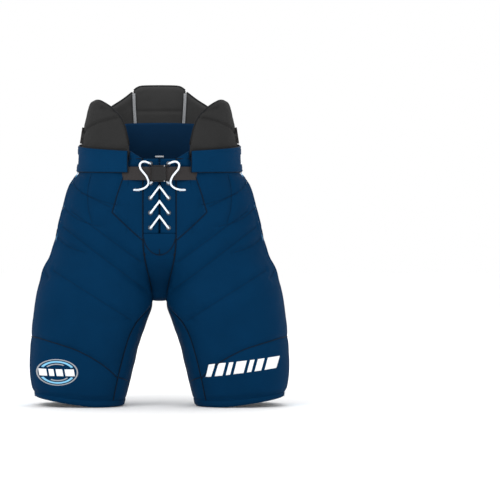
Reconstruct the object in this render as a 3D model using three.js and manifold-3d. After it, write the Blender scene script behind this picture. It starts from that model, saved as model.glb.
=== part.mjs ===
// Ice hockey pants: a laced, belted nylon shell on two padded legs, with kidney and hip pads above
// the belt and plastic guards inside. Millimetres, +Z up, front towards -Y, hems on z = 0.
// "left" is the wearer's left, at +X. The right side is the left side mirrored in x = 0.
import * as THREE from 'three';
import { mergeVertices } from 'three/addons/utils/BufferGeometryUtils.js';
import Module from 'manifold-3d';

const wasm = await Module();
wasm.setup();

// ---- Driving dimensions ----
const CROTCH_Z = 200;        // underside of the crotch
const LEG_TOP_Z = 320;       // above this the two legs are one waist
const SHELL_TOP_Z = 470.5;   // top edge of the nylon shell, behind the belt casing
const PAD_FOOT_Z = 471.5;    // where the kidney and hip pads stand on the shell
const HIP_AXIS_Z = 310;      // height of the axis that each leg swings about
const LEG_POWER = 2.8;       // superellipse power of a leg's section
const WAIST_POWER = 2.8;
const ORIGIN_SHIFT = 6.13;   // moves the whole object back, onto its origin
const HEM_RISE = 18;         // how much higher the hem is at the outside of the leg
const FLY_HALF = 31;         // half the width of the laced fly
const FLY_FOOT_Z = 329;
const FLY_TOP_Z = 469;
const FLAP_GAP_HALF = 3;     // half the slit between the two lacing flaps
const GAP = 0.8;             // seam gap between neighbouring panels
const SEAM = 0.0012;         // the same gap as a share of the girth
const SHELL = 3.5;           // thickness of the padded nylon shell
const STRIPE_HALF = 32;      // half the width of the side stripe
const STRIPE_Y = -14;        // the stripe's middle, seen from the side
const WEBBING_WIDTH = 25;
const WEBBING_Z = 442;       // middle of the belt webbing
const WEBBING_THICK = 1.8;
const EYELET_X = 17;
const EYELET_ZS = [340, 368, 396, 424, 460];
const EYELET_BORE = 2.7;
const EYELET_RADIUS = 4.5;
const LACE_RADIUS = 1.8;
const LACE_RISE = 21;        // how far the lace climbs from an eyelet to the slit

const NAVY = 0x063153;
const BELT_NAVY = 0x083458;
const CHARCOAL = 0x333333;
const SKY = 0x2f9bd0;
const BLACK = 0x17181a;
const SNOW = 0xe9eff5;
const STEEL = 0x8a8d92;
const FOAM = 0x9aa4ad;
const PLASTIC = 0x23262b;

// ---- Outline curves ----
const mix = (a, b, t) => a + (b - a) * t;
const clamp = (x, low, high) => Math.min(high, Math.max(low, x));

// A smooth curve through points [x, y], flat beyond its ends.
function profile(points) {
  const slope = points.map((p, i) => {
    const before = points[Math.max(i - 1, 0)];
    const after = points[Math.min(i + 1, points.length - 1)];
    return (after[1] - before[1]) / (after[0] - before[0]);
  });
  return (x) => {
    const at = clamp(x, points[0][0], points.at(-1)[0]);
    let i = 0;
    while (i < points.length - 2 && at > points[i + 1][0]) i += 1;
    const [x0, y0] = points[i];
    const [x1, y1] = points[i + 1];
    const span = x1 - x0;
    const t = (at - x0) / span;
    const a = y0 * (1 + 2 * t) * (1 - t) ** 2 + slope[i] * span * t * (1 - t) ** 2;
    return a + y1 * t * t * (3 - 2 * t) + slope[i + 1] * span * t * t * (t - 1);
  };
}

// Straight lines through points [x, y], flat beyond the ends.
function polyline(points) {
  return (x) => {
    const at = clamp(x, points[0][0], points.at(-1)[0]);
    let i = 0;
    while (i < points.length - 2 && at > points[i + 1][0]) i += 1;
    const [x0, y0] = points[i];
    const [x1, y1] = points[i + 1];
    return mix(y0, y1, (at - x0) / (x1 - x0));
  };
}

// One leg by height: its outermost, innermost, front and back reach, and where its inseams run.
const legOut = profile([[0, 236], [60, 242.5], [130, 239.5], [200, 231], [250, 221], [275, 209], [320, 195]]);
const legIn = profile([[0, 69], [60, 55], [120, 40], [160, 26], [200, 13], [320, 5]]);
const legFront = profile([[0, -106], [30, -113], [80, -123], [140, -134], [210, -141], [320, -137]]);
const legBack = profile([[0, 78], [50, 83], [110, 92], [170, 101], [215, 109], [245, 121], [275, 133],
  [320, 140]]);
const frontInseam = profile([[0, 131], [110, 134], [160, 140], [200, 167], [320, 167]]);
const backInseam = profile([[0, 140], [160, 145], [200, 167], [320, 167]]);
// The waist by height, up to the tops of the pads.
const waistOut = profile([[200, 234], [245, 222], [262, 216], [275, 208], [291, 202], [320, 195], [351, 187],
  [382, 179.5], [412, 170], [443, 155], [470, 149], [503, 145.5], [564, 134], [610, 120]]);
const waistFront = profile([[320, -137], [390, -138], [443, -135], [470, -134], [515, -139], [610, -132]]);
const waistBack = profile([[320, 140], [351, 142], [400, 138], [443, 135], [470, 131], [503, 128],
  [610, 126]]);

// Shares of the girth: 0 at the fly, 0.5 on the side stripe and 1 at the middle of the back.
const SIDE = 0.5;
const abdomenEdge = polyline([[317, 0.004], [369, 0.131], [446, 0.087], [470, 0.068], [484, 0.064]]);
const hipFoot = polyline([[0, 250], [0.1, 290], [0.18, 305], [0.5, 312], [0.85, 306], [0.93, 290], [1, 252]]);
const legTop = polyline([[0, 166], [0.1, 222], [0.18, 246], [0.25, 248], [0.35, 266], [0.44, 289], [0.5, 300],
  [0.58, 296], [0.7, 287], [0.85, 273], [0.93, 242], [1, 170]]);
const INNER_TOP = 155;       // top of the inner thigh panel
const LAP = 3;               // how far the stretch gore laps behind its neighbours
const lowerSeam = profile([[0, 55], [0.1, 88], [0.2, 112], [0.34, 130], [0.5, 131]]);
const HIP_PAD = [0.071, 0.772];
const hipPadTop = profile([[0.071, 488], [0.078, 505], [0.099, 532], [0.13, 551], [0.197, 569], [0.29, 580],
  [0.37, 581.5], [0.5, 579], [0.65, 577], [0.772, 571]]);
const spineSeam = polyline([[471, 0.908], [538, 0.896], [600, 0.88]]);   // between kidney and spine pads
const PAD_GAP = 0.0015;
const kidneyTop = profile([[0.776, 567.5], [0.832, 580], [0.877, 593.5], [0.907, 606]]);
const spineTop = profile([[0.877, 593.5], [0.89, 600.5], [0.907, 606], [0.93, 608], [1, 609]]);
const CASING_EDGE = 0.071;
const casingTop = profile([[0.071, 485], [0.5, 494], [1, 503]]);
const casingLift = polyline([[0.071, 3.6], [0.084, 3.6], [0.125, 2.2], [0.167, 0]]);   // over the webbing
const CASING_FOOT_Z = 443.5;

// ---- The outer surface ----
const degrees = Math.PI / 180;
const power = (x, p) => Math.sign(x) * Math.abs(x) ** p;

function superellipse(centre, half, exponent, angle) {
  return [
    centre[0] + half[0] * power(Math.cos(angle), 2 / exponent),
    centre[1] + half[1] * power(Math.sin(angle), 2 / exponent),
  ];
}

// A run of points, read by the share of its length.
const STEPS = 40;
function measured(at, from, to) {
  const points = [];
  for (let i = 0; i <= STEPS; i += 1) points.push(at(mix(from, to, i / STEPS)));
  const lengths = [0];
  for (let i = 1; i <= STEPS; i += 1) {
    const step = Math.hypot(points[i][0] - points[i - 1][0], points[i][1] - points[i - 1][1]);
    lengths.push(lengths[i - 1] + step);
  }
  return (share) => {
    const target = share * lengths[STEPS];
    let i = 1;
    while (i < STEPS && lengths[i] < target) i += 1;
    const t = (target - lengths[i - 1]) / (lengths[i] - lengths[i - 1]);
    return [mix(points[i - 1][0], points[i][0], t), mix(points[i - 1][1], points[i][1], t)];
  };
}

const legCache = new Map();
function legSection(z) {
  if (!legCache.has(z)) {
    const centre = [(legOut(z) + legIn(z)) / 2, (legFront(z) + legBack(z)) / 2];
    const half = [(legOut(z) - legIn(z)) / 2, (legBack(z) - legFront(z)) / 2];
    const at = (angle) => superellipse(centre, half, LEG_POWER, angle * degrees);
    legCache.set(z, {
      front: measured(at, -frontInseam(z), 0),
      back: measured(at, 0, backInseam(z)),
      inner: measured(at, backInseam(z), 360 - frontInseam(z)),
    });
  }
  return legCache.get(z);
}

const waistCache = new Map();
function waistSection(z) {
  if (!waistCache.has(z)) {
    const centre = [0, (waistFront(z) + waistBack(z)) / 2];
    const half = [waistOut(z), (waistBack(z) - waistFront(z)) / 2];
    const at = (angle) => superellipse(centre, half, WAIST_POWER, angle);
    const flyAngle = -Math.acos((FLY_HALF / half[0]) ** (WAIST_POWER / 2));
    const sideAngle = -Math.asin(((centre[1] - STRIPE_Y) / half[1]) ** (WAIST_POWER / 2));
    const back = measured(at, sideAngle, Math.PI / 2);
    waistCache.set(z, { front: measured(at, flyAngle, sideAngle), back });
  }
  return waistCache.get(z);
}

// The hem rises towards the outside of each leg, and its surroundings rise with it.
const RISE_FROM_X = 120;
const RISE_TOP_Z = 130;
function raised(x, y, z) {
  const out = clamp((x - RISE_FROM_X) / RISE_FROM_X, 0, 1) ** 1.3;
  return [x, y, z + HEM_RISE * out * clamp(1 - z / RISE_TOP_Z, 0, 1) ** 2];
}

// How much of the waist there is in the section at z: 0 in the leg, 1 above LEG_TOP_Z.
const waistShare = profile([[CROTCH_Z, 0], [215, 0.1], [230, 0.27], [250, 0.53], [275, 0.8], [300, 0.96],
  [LEG_TOP_Z, 1]]);

function outerPoint(s, z) {
  const read = (section) => (s < SIDE ? section.front(s / SIDE) : section.back((s - SIDE) / (1 - SIDE)));
  const w = waistShare(z);
  const leg = w < 1 ? read(legSection(z)) : [0, 0];
  const waist = w > 0 ? read(waistSection(z)) : [0, 0];
  return raised(mix(leg[0], waist[0], w), mix(leg[1], waist[1], w), z);
}

const innerPoint = (t, z) => raised(...legSection(z).inner(t), z);

// The whole loop of a leg: the outer run, then the inner thigh from the back seam to the front one.
const OUTER_SHARE = 0.72;
function loopPoint(u, z) {
  if (u < OUTER_SHARE) return outerPoint(u / OUTER_SHARE, z);
  return innerPoint((u - OUTER_SHARE) / (1 - OUTER_SHARE), Math.min(z, CROTCH_Z));
}

// The back of the waist, from the left side (r = -1) through the middle (0) to the right side (1).
function backPoint(r, z) {
  const [x, y, height] = outerPoint(1 - Math.abs(r), z);
  return [-Math.sign(r) * x, y, height];
}

// Every layer shares these columns, so that the facets of neighbouring layers stay parallel.
const shares = (count) => Array.from({ length: count - 1 }, (_, i) => (i + 1) / count);
const HALF_COLUMNS = 24;
const INNER_COLUMNS = 8;
const NEAR_SEAM = 0.006;
const halfShares = shares(HALF_COLUMNS);
const innerShares = shares(INNER_COLUMNS);
const loopShares = [0, NEAR_SEAM, ...halfShares, 1 - NEAR_SEAM, 1].map((s) => s * OUTER_SHARE)
  .concat(innerShares.map((t) => OUTER_SHARE + t * (1 - OUTER_SHARE)));
const OUTER = { at: outerPoint, columns: halfShares, range: [0, 1] };
const INNER = { at: innerPoint, columns: innerShares, range: [0, 1] };
const backColumns = [...halfShares.map((s) => -s).reverse(), 0, ...halfShares];
const BACK = { at: backPoint, columns: backColumns, range: [-1, 1] };
const LOOP = { at: loopPoint, columns: loopShares, wraps: true };

// The level outward normal of a surface.
function levelNormal(surface, a, z) {
  const step = 0.004;
  const [low, high] = surface.range ?? [0, 1];
  const before = surface.wraps ? (a - step + 1) % 1 : clamp(a - step, low, high - step);
  const after = surface.wraps ? (a + step) % 1 : clamp(a + step, low + step, high);
  const [x0, y0] = surface.at(before, z);
  const [x1, y1] = surface.at(after, z);
  const length = Math.hypot(x1 - x0, y1 - y0);
  return [(y1 - y0) / length, -(x1 - x0) / length];
}

// ---- Solids ----
const valueAt = (edge, at) => (typeof edge === 'function' ? edge(at) : edge);

// The columns of a patch: its own edges, and the shared columns between them (or an even split).
function patchColumns(surface, s, z, across) {
  if (surface.wraps) return surface.columns.map((a) => () => a);
  if (across) {
    return Array.from({ length: across + 1 }, (_, i) => (height) => (
      mix(valueAt(s[0], height), valueAt(s[1], height), i / across)));
  }
  const heights = [0, 0.25, 0.5, 0.75, 1].map((t) => mix(valueAt(z[0], 0.5), valueAt(z[1], 0.5), t));
  const first = Math.max(...heights.map((height) => valueAt(s[0], height)));
  const last = Math.min(...heights.map((height) => valueAt(s[1], height)));
  const inside = surface.columns.filter((a) => a > first + 0.006 && a < last - 0.006);
  const ends = s.map((end) => (height) => valueAt(end, height));
  return [ends[0], ...inside.map((a) => () => a), ends[1]];
}

// A panel: the surface between two depths, over a patch whose edges may slant. Depth counts inwards,
// and may vary along the girth.
function panel({ surface = OUTER, s, z, depth, rows, across, mirrored = false }) {
  const wraps = Boolean(surface.wraps);
  const columns = patchColumns(surface, s, z, across);
  const positions = [];
  for (const d of depth) {
    for (const column of columns) {
      const guess = column(mix(valueAt(z[0], column(0)), valueAt(z[1], column(0)), 0.5));
      for (let j = 0; j <= rows; j += 1) {
        const first = mix(valueAt(z[0], guess), valueAt(z[1], guess), j / rows);
        const along = column(first);
        const level = mix(valueAt(z[0], along), valueAt(z[1], along), j / rows);
        const [x, y, height] = surface.at(along, level);
        const [nx, ny] = levelNormal(surface, along, level);
        const deep = valueAt(d, along);
        positions.push(x - nx * deep, y - ny * deep, height);
      }
    }
  }
  const index = [];
  const quad = (a, b, c, e) => index.push(a, b, c, a, c, e);
  const at = (layer, i, j) => (layer * columns.length + (i % columns.length)) * (rows + 1) + j;
  const cells = wraps ? columns.length : columns.length - 1;
  for (let i = 0; i < cells; i += 1) {
    for (let j = 0; j < rows; j += 1) {
      quad(at(0, i, j), at(0, i + 1, j), at(0, i + 1, j + 1), at(0, i, j + 1));
      quad(at(1, i, j), at(1, i, j + 1), at(1, i + 1, j + 1), at(1, i + 1, j));
    }
    quad(at(0, i, 0), at(1, i, 0), at(1, i + 1, 0), at(0, i + 1, 0));
    quad(at(0, i, rows), at(0, i + 1, rows), at(1, i + 1, rows), at(1, i, rows));
  }
  for (let j = 0; j < rows && !wraps; j += 1) {
    quad(at(0, 0, j), at(0, 0, j + 1), at(1, 0, j + 1), at(1, 0, j));
    quad(at(0, cells, j), at(1, cells, j), at(1, cells, j + 1), at(0, cells, j + 1));
  }
  return closedGeometry(positions, index, mirrored);
}

function closedGeometry(positions, index, mirrored) {
  const flat = mirrored ? positions.map((v, i) => (i % 3 === 0 ? -v : v)) : positions;
  const turned = [];
  for (let i = 0; i < index.length; i += 3) {
    const [a, b, c] = index.slice(i, i + 3);
    turned.push(...(mirrored ? [a, c, b] : [a, b, c]));
  }
  const geometry = new THREE.BufferGeometry();
  geometry.setAttribute('position', new THREE.Float32BufferAttribute(flat, 3));
  geometry.setIndex(turned);
  return geometry;
}

function solid(geometry) {
  const bare = geometry.clone();
  bare.deleteAttribute('normal');
  bare.deleteAttribute('uv');
  const merged = mergeVertices(bare, 1e-4);
  return new wasm.Manifold(new wasm.Mesh({
    numProp: 3,
    vertProperties: new Float32Array(merged.attributes.position.array),
    triVerts: new Uint32Array(merged.index.array),
  }));
}

function geometryOf(manifold) {
  const { vertProperties, triVerts } = manifold.getMesh();
  const geometry = new THREE.BufferGeometry();
  geometry.setAttribute('position', new THREE.BufferAttribute(vertProperties, 3));
  geometry.setIndex(new THREE.BufferAttribute(triVerts, 1));
  return geometry;
}

const cut = (geometry, tools) =>
  geometryOf(tools.reduce((body, tool) => body.subtract(solid(tool)), solid(geometry)));
const join = (geometries) => geometryOf(geometries.map(solid).reduce((a, b) => a.add(b)));
const placed = (geometry, x, y, z) => geometry.clone().translate(x, y, z);
const box = (x, y, z, at) => placed(new THREE.BoxGeometry(x, y, z), ...at);

// A closed outline in the XY plane, raised from z to z + height.
function prism(outline, z, height) {
  const shape = new THREE.Shape(outline.map(([x, y]) => new THREE.Vector2(x, y)));
  return placed(new THREE.ExtrudeGeometry(shape, { depth: height, bevelEnabled: false }), 0, 0, z);
}

// A flat band of even thickness along a plan route.
function band(route, thickness, z, height) {
  const side = (sign) => route.map(([x, y], i) => {
    const [x0, y0] = route[Math.max(i - 1, 0)];
    const [x1, y1] = route[Math.min(i + 1, route.length - 1)];
    const length = Math.hypot(x1 - x0, y1 - y0);
    return [x + (sign * thickness * (y1 - y0)) / length / 2, y - (sign * thickness * (x1 - x0)) / length / 2];
  });
  return prism([...side(1), ...side(-1).reverse()], z, height);
}

// A round cord along a route of points, with square-cut ends.
function cord(route, radius, steps, curved = true) {
  const points = route.map((p) => new THREE.Vector3(...p));
  const path = curved ? new THREE.CatmullRomCurve3(points) : new THREE.LineCurve3(...points);
  const section = new THREE.Shape();
  const sides = 6;
  for (let i = 0; i < sides; i += 1) {
    const angle = ((i + 0.5) / sides) * 2 * Math.PI;
    const corner = [radius * Math.cos(angle), radius * Math.sin(angle)];
    if (i === 0) section.moveTo(...corner);
    else section.lineTo(...corner);
  }
  return new THREE.ExtrudeGeometry(section, { steps, extrudePath: path, bevelEnabled: false });
}

// ---- The object ----
const pants = new THREE.Group();
function add(name, geometry, colour, roughness = 0.8, metalness = 0) {
  const material = new THREE.MeshStandardMaterial({ color: colour, roughness, metalness });
  const mesh = new THREE.Mesh(geometry, material);
  mesh.name = name;
  pants.add(mesh);
  return mesh;
}

// Belt webbing: in front of the abdomen panels it lies outside, and behind the hip panels it lies inside.
const STRAP_Y = -145.5;
const frontRoute = [[20, STRAP_Y], [31, -143], [42, -139.6], [52, -136], [57, -134.2], [62, -132.8],
  [67, -131.2],
  [76, -124]];
const webbingRoute = [[-10, STRAP_Y], ...frontRoute.map(([x, y]) => [-x, y])];
const INSIDE = 5;
for (const side of [-1, 1]) {
  const stops = halfShares.filter((s) => s > 0.13);
  for (const share of side < 0 ? stops : stops.reverse()) {
    const [x, y] = outerPoint(share, WEBBING_Z + WEBBING_WIDTH / 2);
    const [nx, ny] = levelNormal(OUTER, share, WEBBING_Z + WEBBING_WIDTH / 2);
    webbingRoute.push([side * (x - nx * INSIDE), y - ny * INSIDE]);
  }
}
webbingRoute.push(...frontRoute.reverse(), [-4, STRAP_Y]);
const webbing = (thickness, margin) => band(
  webbingRoute,
  thickness,
  WEBBING_Z - WEBBING_WIDTH / 2 - margin,
  WEBBING_WIDTH + 2 * margin,
);
const webbingSlot = webbing(WEBBING_THICK + 1.6, 1);

const stripeHalf = (z) => {
  const girth = (half, n) => {
    let sum = 0;
    for (let i = 0; i < n; i += 1) {
      const a = outerPoint(SIDE + (half * i) / n, z);
      const b = outerPoint(SIDE + (half * (i + 1)) / n, z);
      sum += Math.hypot(a[0] - b[0], a[1] - b[1]);
    }
    return sum;
  };
  return [(0.1 * STRIPE_HALF) / girth(-0.1, 4), (0.1 * STRIPE_HALF) / girth(0.1, 4)];
};

// The fly lies flat from side to side, and follows the front of the waist up and down.
const flyY = (z) => outerPoint(0, z)[1];
const flat = (from, to) => ({ at: (a, z) => [mix(from, to, a), flyY(z), z], range: [0, 1] });

for (const [side, mirrored] of [['left', false], ['right', true]]) {
  const name = (piece) => `${side}_${piece}`;
  const nylon = (piece, options, colour = NAVY) => add(name(piece), panel({ mirrored, ...options }), colour);

  // Hip shell, fixed to the belt.
  const abdomenPatch = (margin, low, depth) => panel({
    mirrored,
    s: [SEAM - 10 * margin, (z) => abdomenEdge(z) - SEAM + margin],
    z: [low, (s) => mix(FLY_TOP_Z, 484, clamp(s / CASING_EDGE, 0, 1)) + 1500 * margin],
    depth,
    rows: 10,
    across: 4,
  });
  add(name('abdomen_panel'), cut(abdomenPatch(0, 320, [0, SHELL]), [webbingSlot]), NAVY);
  const hipFront = panel({
    mirrored, s: [SEAM, SIDE - SEAM], z: [hipFoot, SHELL_TOP_Z], depth: [0, SHELL], rows: 9,
  });
  const opening = abdomenPatch(2 * SEAM, 320 - GAP, [-4, SHELL + 4]);
  add(name('hip_front_panel'), cut(hipFront, [opening, webbingSlot]), NAVY);
  nylon('seat_panel', { s: [SIDE + SEAM, 1 - SEAM], z: [hipFoot, SHELL_TOP_Z], depth: [0, SHELL], rows: 8 });
  add(
    name('hip_guard'),
    panel({ mirrored, s: [0.35, 0.66], z: [330, 424], depth: [5, 8], rows: 4 }),
    PLASTIC,
    0.4,
  );

  // The stretch gore lets the leg swing: it crumples between the hip shell and the leg.
  const besideSeam = (u) => u > 0 && u < OUTER_SHARE;
  nylon('hip_gore', {
    surface: LOOP,
    z: [
      (u) => (besideSeam(u) ? legTop(u / OUTER_SHARE) : INNER_TOP) - LAP,
      (u) => (besideSeam(u) ? hipFoot(u / OUTER_SHARE) + LAP : CROTCH_Z - 1),
    ],
    depth: [5.8, 7.2],
    rows: 4,
  }, CHARCOAL);

  // Leg shell, which swings about the hip.
  nylon('thigh_front_panel', {
    s: [SEAM, SIDE - SEAM], z: [(s) => lowerSeam(s) + GAP, legTop], depth: [0, SHELL], rows: 9,
  });
  nylon('lower_thigh_panel', { s: [SEAM, SIDE - SEAM], z: [12.8, lowerSeam], depth: [0, SHELL], rows: 4 });
  nylon('thigh_rear_panel', { s: [SIDE + SEAM, 1 - SEAM], z: [12.8, legTop], depth: [0, SHELL], rows: 11 });
  nylon('inner_thigh_panel', {
    surface: INNER, s: [6 * SEAM, 1 - 6 * SEAM], z: [12.8, INNER_TOP], depth: [0, SHELL], rows: 6,
  });
  nylon('hem_binding', { surface: LOOP, z: [0, 12], depth: [0, 15.4], rows: 1 });
  nylon('leg_liner', {
    surface: LOOP,
    z: [1, (u) => (besideSeam(u) ? legTop(u / OUTER_SHARE) : INNER_TOP) - 3],
    depth: [16, 17.6],
    rows: 9,
  }, BLACK);
  add(
    name('thigh_guard'),
    panel({ mirrored, s: [0.08, 0.43], z: [14, (s) => legTop(s) - 10], depth: [5.8, 8], rows: 9 }),
    PLASTIC,
    0.4,
  );
  add(
    name('thigh_foam'),
    panel({ mirrored, s: [0.08, 0.46], z: [13, (s) => legTop(s) - 9], depth: [8.8, 13.8], rows: 9 }),
    FOAM,
    0.95,
  );
  nylon('side_stripe', {
    s: [(z) => SIDE - stripeHalf(z)[0], (z) => SIDE + stripeHalf(z)[1]], z: [1, 442.5], depth: [-2.6, -1.6],
    rows: 20,
  }, SKY);

  // Pads above the belt.
  nylon('hip_pad', { s: HIP_PAD, z: [PAD_FOOT_Z, hipPadTop], depth: [0, 13], rows: 4 }, CHARCOAL);
  nylon('kidney_pad', {
    s: [0.776, (z) => spineSeam(z) - PAD_GAP], z: [PAD_FOOT_Z, kidneyTop], depth: [0, 13], rows: 5,
  }, CHARCOAL);

  // Lacing flap with its eyelet holes.
  const flap = panel({
    mirrored,
    surface: flat(FLAP_GAP_HALF, FLY_HALF - 0.6),
    s: [0, 1],
    z: [FLY_FOOT_Z + GAP, FLY_TOP_Z],
    depth: [0, 4],
    rows: 6,
    across: 1,
  });
  const reach = 14;
  const sign = mirrored ? -1 : 1;
  const holes = EYELET_ZS.map((z) => placed(
    new THREE.CylinderGeometry(EYELET_RADIUS + 0.4, EYELET_RADIUS + 0.4, reach, 14),
    sign * EYELET_X,
    flyY(z) + 2,
    z,
  ));
  add(name('fly_flap'), cut(flap, holes), NAVY);
  EYELET_ZS.forEach((z, row) => {
    const ring = [[EYELET_BORE, 0], [EYELET_RADIUS, 0], [EYELET_RADIUS, 5.2], [EYELET_BORE, 5.2],
      [EYELET_BORE, 0]];
    const grommet = new THREE.LatheGeometry(ring.map(([r, h]) => new THREE.Vector2(r, h)), 12);
    const mesh = add(name(`eyelet_${row + 1}`), grommet, STEEL, 0.35, 1);
    mesh.position.set(sign * EYELET_X, flyY(z) - 0.6, z);
  });
}

// ---- Pieces on the middle line ----
add('spine_pad', panel({
  surface: BACK,
  s: [(z) => spineSeam(z) + PAD_GAP - 1, (z) => 1 - PAD_GAP - spineSeam(z)],
  z: [PAD_FOOT_Z, (r) => spineTop(1 - Math.abs(r))],
  depth: [0, 13],
  rows: 5,
}), CHARCOAL);
add('waist_lining', panel({
  surface: BACK, s: [-0.38, 0.38], z: [330, (r) => 538 - 60 * r * r], depth: [16, 17.5], rows: 8,
}), NAVY);
add('tailbone_guard', panel({
  surface: BACK, s: [-0.13, 0.13], z: [322, 424], depth: [5, 12], rows: 4,
}), PLASTIC, 0.4);
add('belt_casing', panel({
  surface: BACK,
  s: [CASING_EDGE - 1, 1 - CASING_EDGE],
  z: [CASING_FOOT_Z, (r) => casingTop(1 - Math.abs(r))],
  depth: [-6.5, -0.8].map((d) => (r) => d - casingLift(1 - Math.abs(r))),
  rows: 3,
}), BELT_NAVY);
add('belt_webbing', webbing(WEBBING_THICK, 0), BLACK);

// The gusset runs from the foot of the fly, under the crotch and up to the seat.
function gusset() {
  const rows = [];
  const edgeGap = 0.8;
  for (const z of [328.4, 305, 282, 262, 243, 226, 213, 204]) {
    const [x, y] = outerPoint(0, z);
    rows.push([x - edgeGap, y, z]);
  }
  for (const y of [-24, 0, 24]) rows.push([12, y, CROTCH_Z]);
  for (const z of [204, 213, 226, 243, 262, 282]) {
    const [x, y] = outerPoint(1, z);
    rows.push([Math.max(x - edgeGap, 1.2), y, z]);
  }
  const positions = [];
  for (const [i, [half, y, z]] of rows.entries()) {
    const [, y0, z0] = rows[Math.max(i - 1, 0)];
    const [, y1, z1] = rows[Math.min(i + 1, rows.length - 1)];
    const length = Math.hypot(y1 - y0, z1 - z0);
    const inward = [-(z1 - z0) / length, (y1 - y0) / length];
    for (const [x, deep] of [[-half, 0], [half, 0], [half, SHELL], [-half, SHELL]]) {
      positions.push(x, y + inward[0] * deep, z + inward[1] * deep);
    }
  }
  const index = [];
  const quad = (a, b, c, e) => index.push(a, b, c, a, c, e);
  for (let i = 0; i < rows.length - 1; i += 1) {
    for (let k = 0; k < 4; k += 1) {
      const next = (k + 1) % 4;
      quad(4 * i + k, 4 * (i + 1) + k, 4 * (i + 1) + next, 4 * i + next);
    }
  }
  const last = 4 * (rows.length - 1);
  quad(0, 1, 2, 3);
  quad(last + 3, last + 2, last + 1, last);
  return closedGeometry(positions, index, false);
}
add('crotch_gusset', gusset(), NAVY);

const tongue = panel({
  surface: flat(-27, 27), s: [0, 1], z: [333, 462], depth: [9, 12], rows: 6, across: 1,
});
add('fly_tongue', tongue, NAVY);

// ---- Lace ----
// It climbs out of each eyelet to the slit, drops behind the flaps and crosses to the next eyelet up.
function lace() {
  const front = (x, z) => [x, flyY(z) - LACE_RADIUS - 0.9, z];
  const behind = (x, z) => [x, flyY(z) + 4 + LACE_RADIUS + 0.9, z];
  const foot = EYELET_ZS[0];
  const runs = [[behind(-EYELET_X, foot), behind(EYELET_X, foot)]];
  for (const x of [-EYELET_X, EYELET_X]) {
    EYELET_ZS.forEach((z, row) => {
      runs.push([front(x, z), behind(x, z)]);
      if (row === EYELET_ZS.length - 1) return;
      const apex = z + LACE_RISE;
      runs.push([front(x, z), front(0, apex)], [front(0, apex), behind(0, apex)]);
      runs.push([behind(0, apex), behind(x, EYELET_ZS[row + 1])]);
    });
  }
  // Each run carries on a little past its corners, so that it meets the next.
  const longer = runs.map(([a, b]) => {
    const from = new THREE.Vector3(...a);
    const to = new THREE.Vector3(...b);
    const extra = to.clone().sub(from).setLength(LACE_RADIUS * 0.9);
    return [from.sub(extra).toArray(), to.add(extra).toArray()];
  });
  return join(longer.map((run) => cord(run, LACE_RADIUS, 1, false)));
}
add('lace', lace(), SNOW);

// Each loose end springs up and outwards from the top eyelet, over the belt, and back out over the fly.
const laceTail = (sign) => [
  [18.2, -141.6, 460.6], [22, -142.8, 462.4], [27, -143.6, 464], [32, -144, 463.6], [36, -144.6, 460.6],
  [37, -146, 456.2], [35, -147.8, 450], [30, -148.8, 443.6], [25, -149.4, 437.4], [21.8, -149, 431],
  [20.6, -145.4, 425], [22.2, -141.6, 420], [26.6, -140.4, 415.6], [33, -139.8, 412.6], [41, -139.4, 411.2],
  [48, -139, 411],
].map(([x, y, z]) => [sign * x, y, z]);
add('left_lace_tail', cord(laceTail(1), LACE_RADIUS, 34), SNOW);
add('right_lace_tail', cord(laceTail(-1), LACE_RADIUS, 34), SNOW);

// ---- Cam buckle ----
const WALL_HALF = WEBBING_WIDTH / 2 + 1;
const WALL = 2;
const PIN = [9, STRAP_Y - 4.7];
const PIN_RADIUS = 1.5;
function buckleFrame() {
  const plate = box(30, 2, 2 * (WALL_HALF + WALL), [0, STRAP_Y + 2.9, WEBBING_Z]);
  const walls = [-1, 1].map((sign) => box(
    26, 9.4, WALL, [2, STRAP_Y - 0.8, WEBBING_Z + sign * (WALL_HALF + WALL / 2)],
  ));
  const pinHoles = placed(
    new THREE.CylinderGeometry(PIN_RADIUS + 0.3, PIN_RADIUS + 0.3, 60, 14).rotateX(Math.PI / 2),
    ...PIN,
    WEBBING_Z,
  );
  return cut(join([plate, ...walls]), [pinHoles]);
}
add('buckle_frame', cut(buckleFrame(), [webbing(WEBBING_THICK + 0.7, 0.5)]), BLACK, 0.45);

const pin = new THREE.CylinderGeometry(PIN_RADIUS, PIN_RADIUS, 2 * (WALL_HALF + WALL), 12)
  .rotateX(Math.PI / 2);
add('buckle_pin', placed(pin, ...PIN, WEBBING_Z), STEEL, 0.3, 1);

function buckleLever() {
  const height = 2 * WALL_HALF - 1;
  const barrel = new THREE.CylinderGeometry(3.1, 3.1, height, 20).rotateX(Math.PI / 2);
  const hub = placed(barrel, ...PIN, WEBBING_Z);
  const plate = box(22, 2.4, height, [PIN[0] - 11, PIN[1] - 1.9, WEBBING_Z]);
  const lip = box(2, 3.2, height, [PIN[0] - 22.6, PIN[1] - 2.3, WEBBING_Z]);
  const bore = placed(
    new THREE.CylinderGeometry(PIN_RADIUS + 0.3, PIN_RADIUS + 0.3, 60, 14).rotateX(Math.PI / 2),
    ...PIN,
    WEBBING_Z,
  );
  return cut(join([hub, plate, lip]), [bore]);
}
add('buckle_lever', buckleLever(), BLACK, 0.4);

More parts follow.
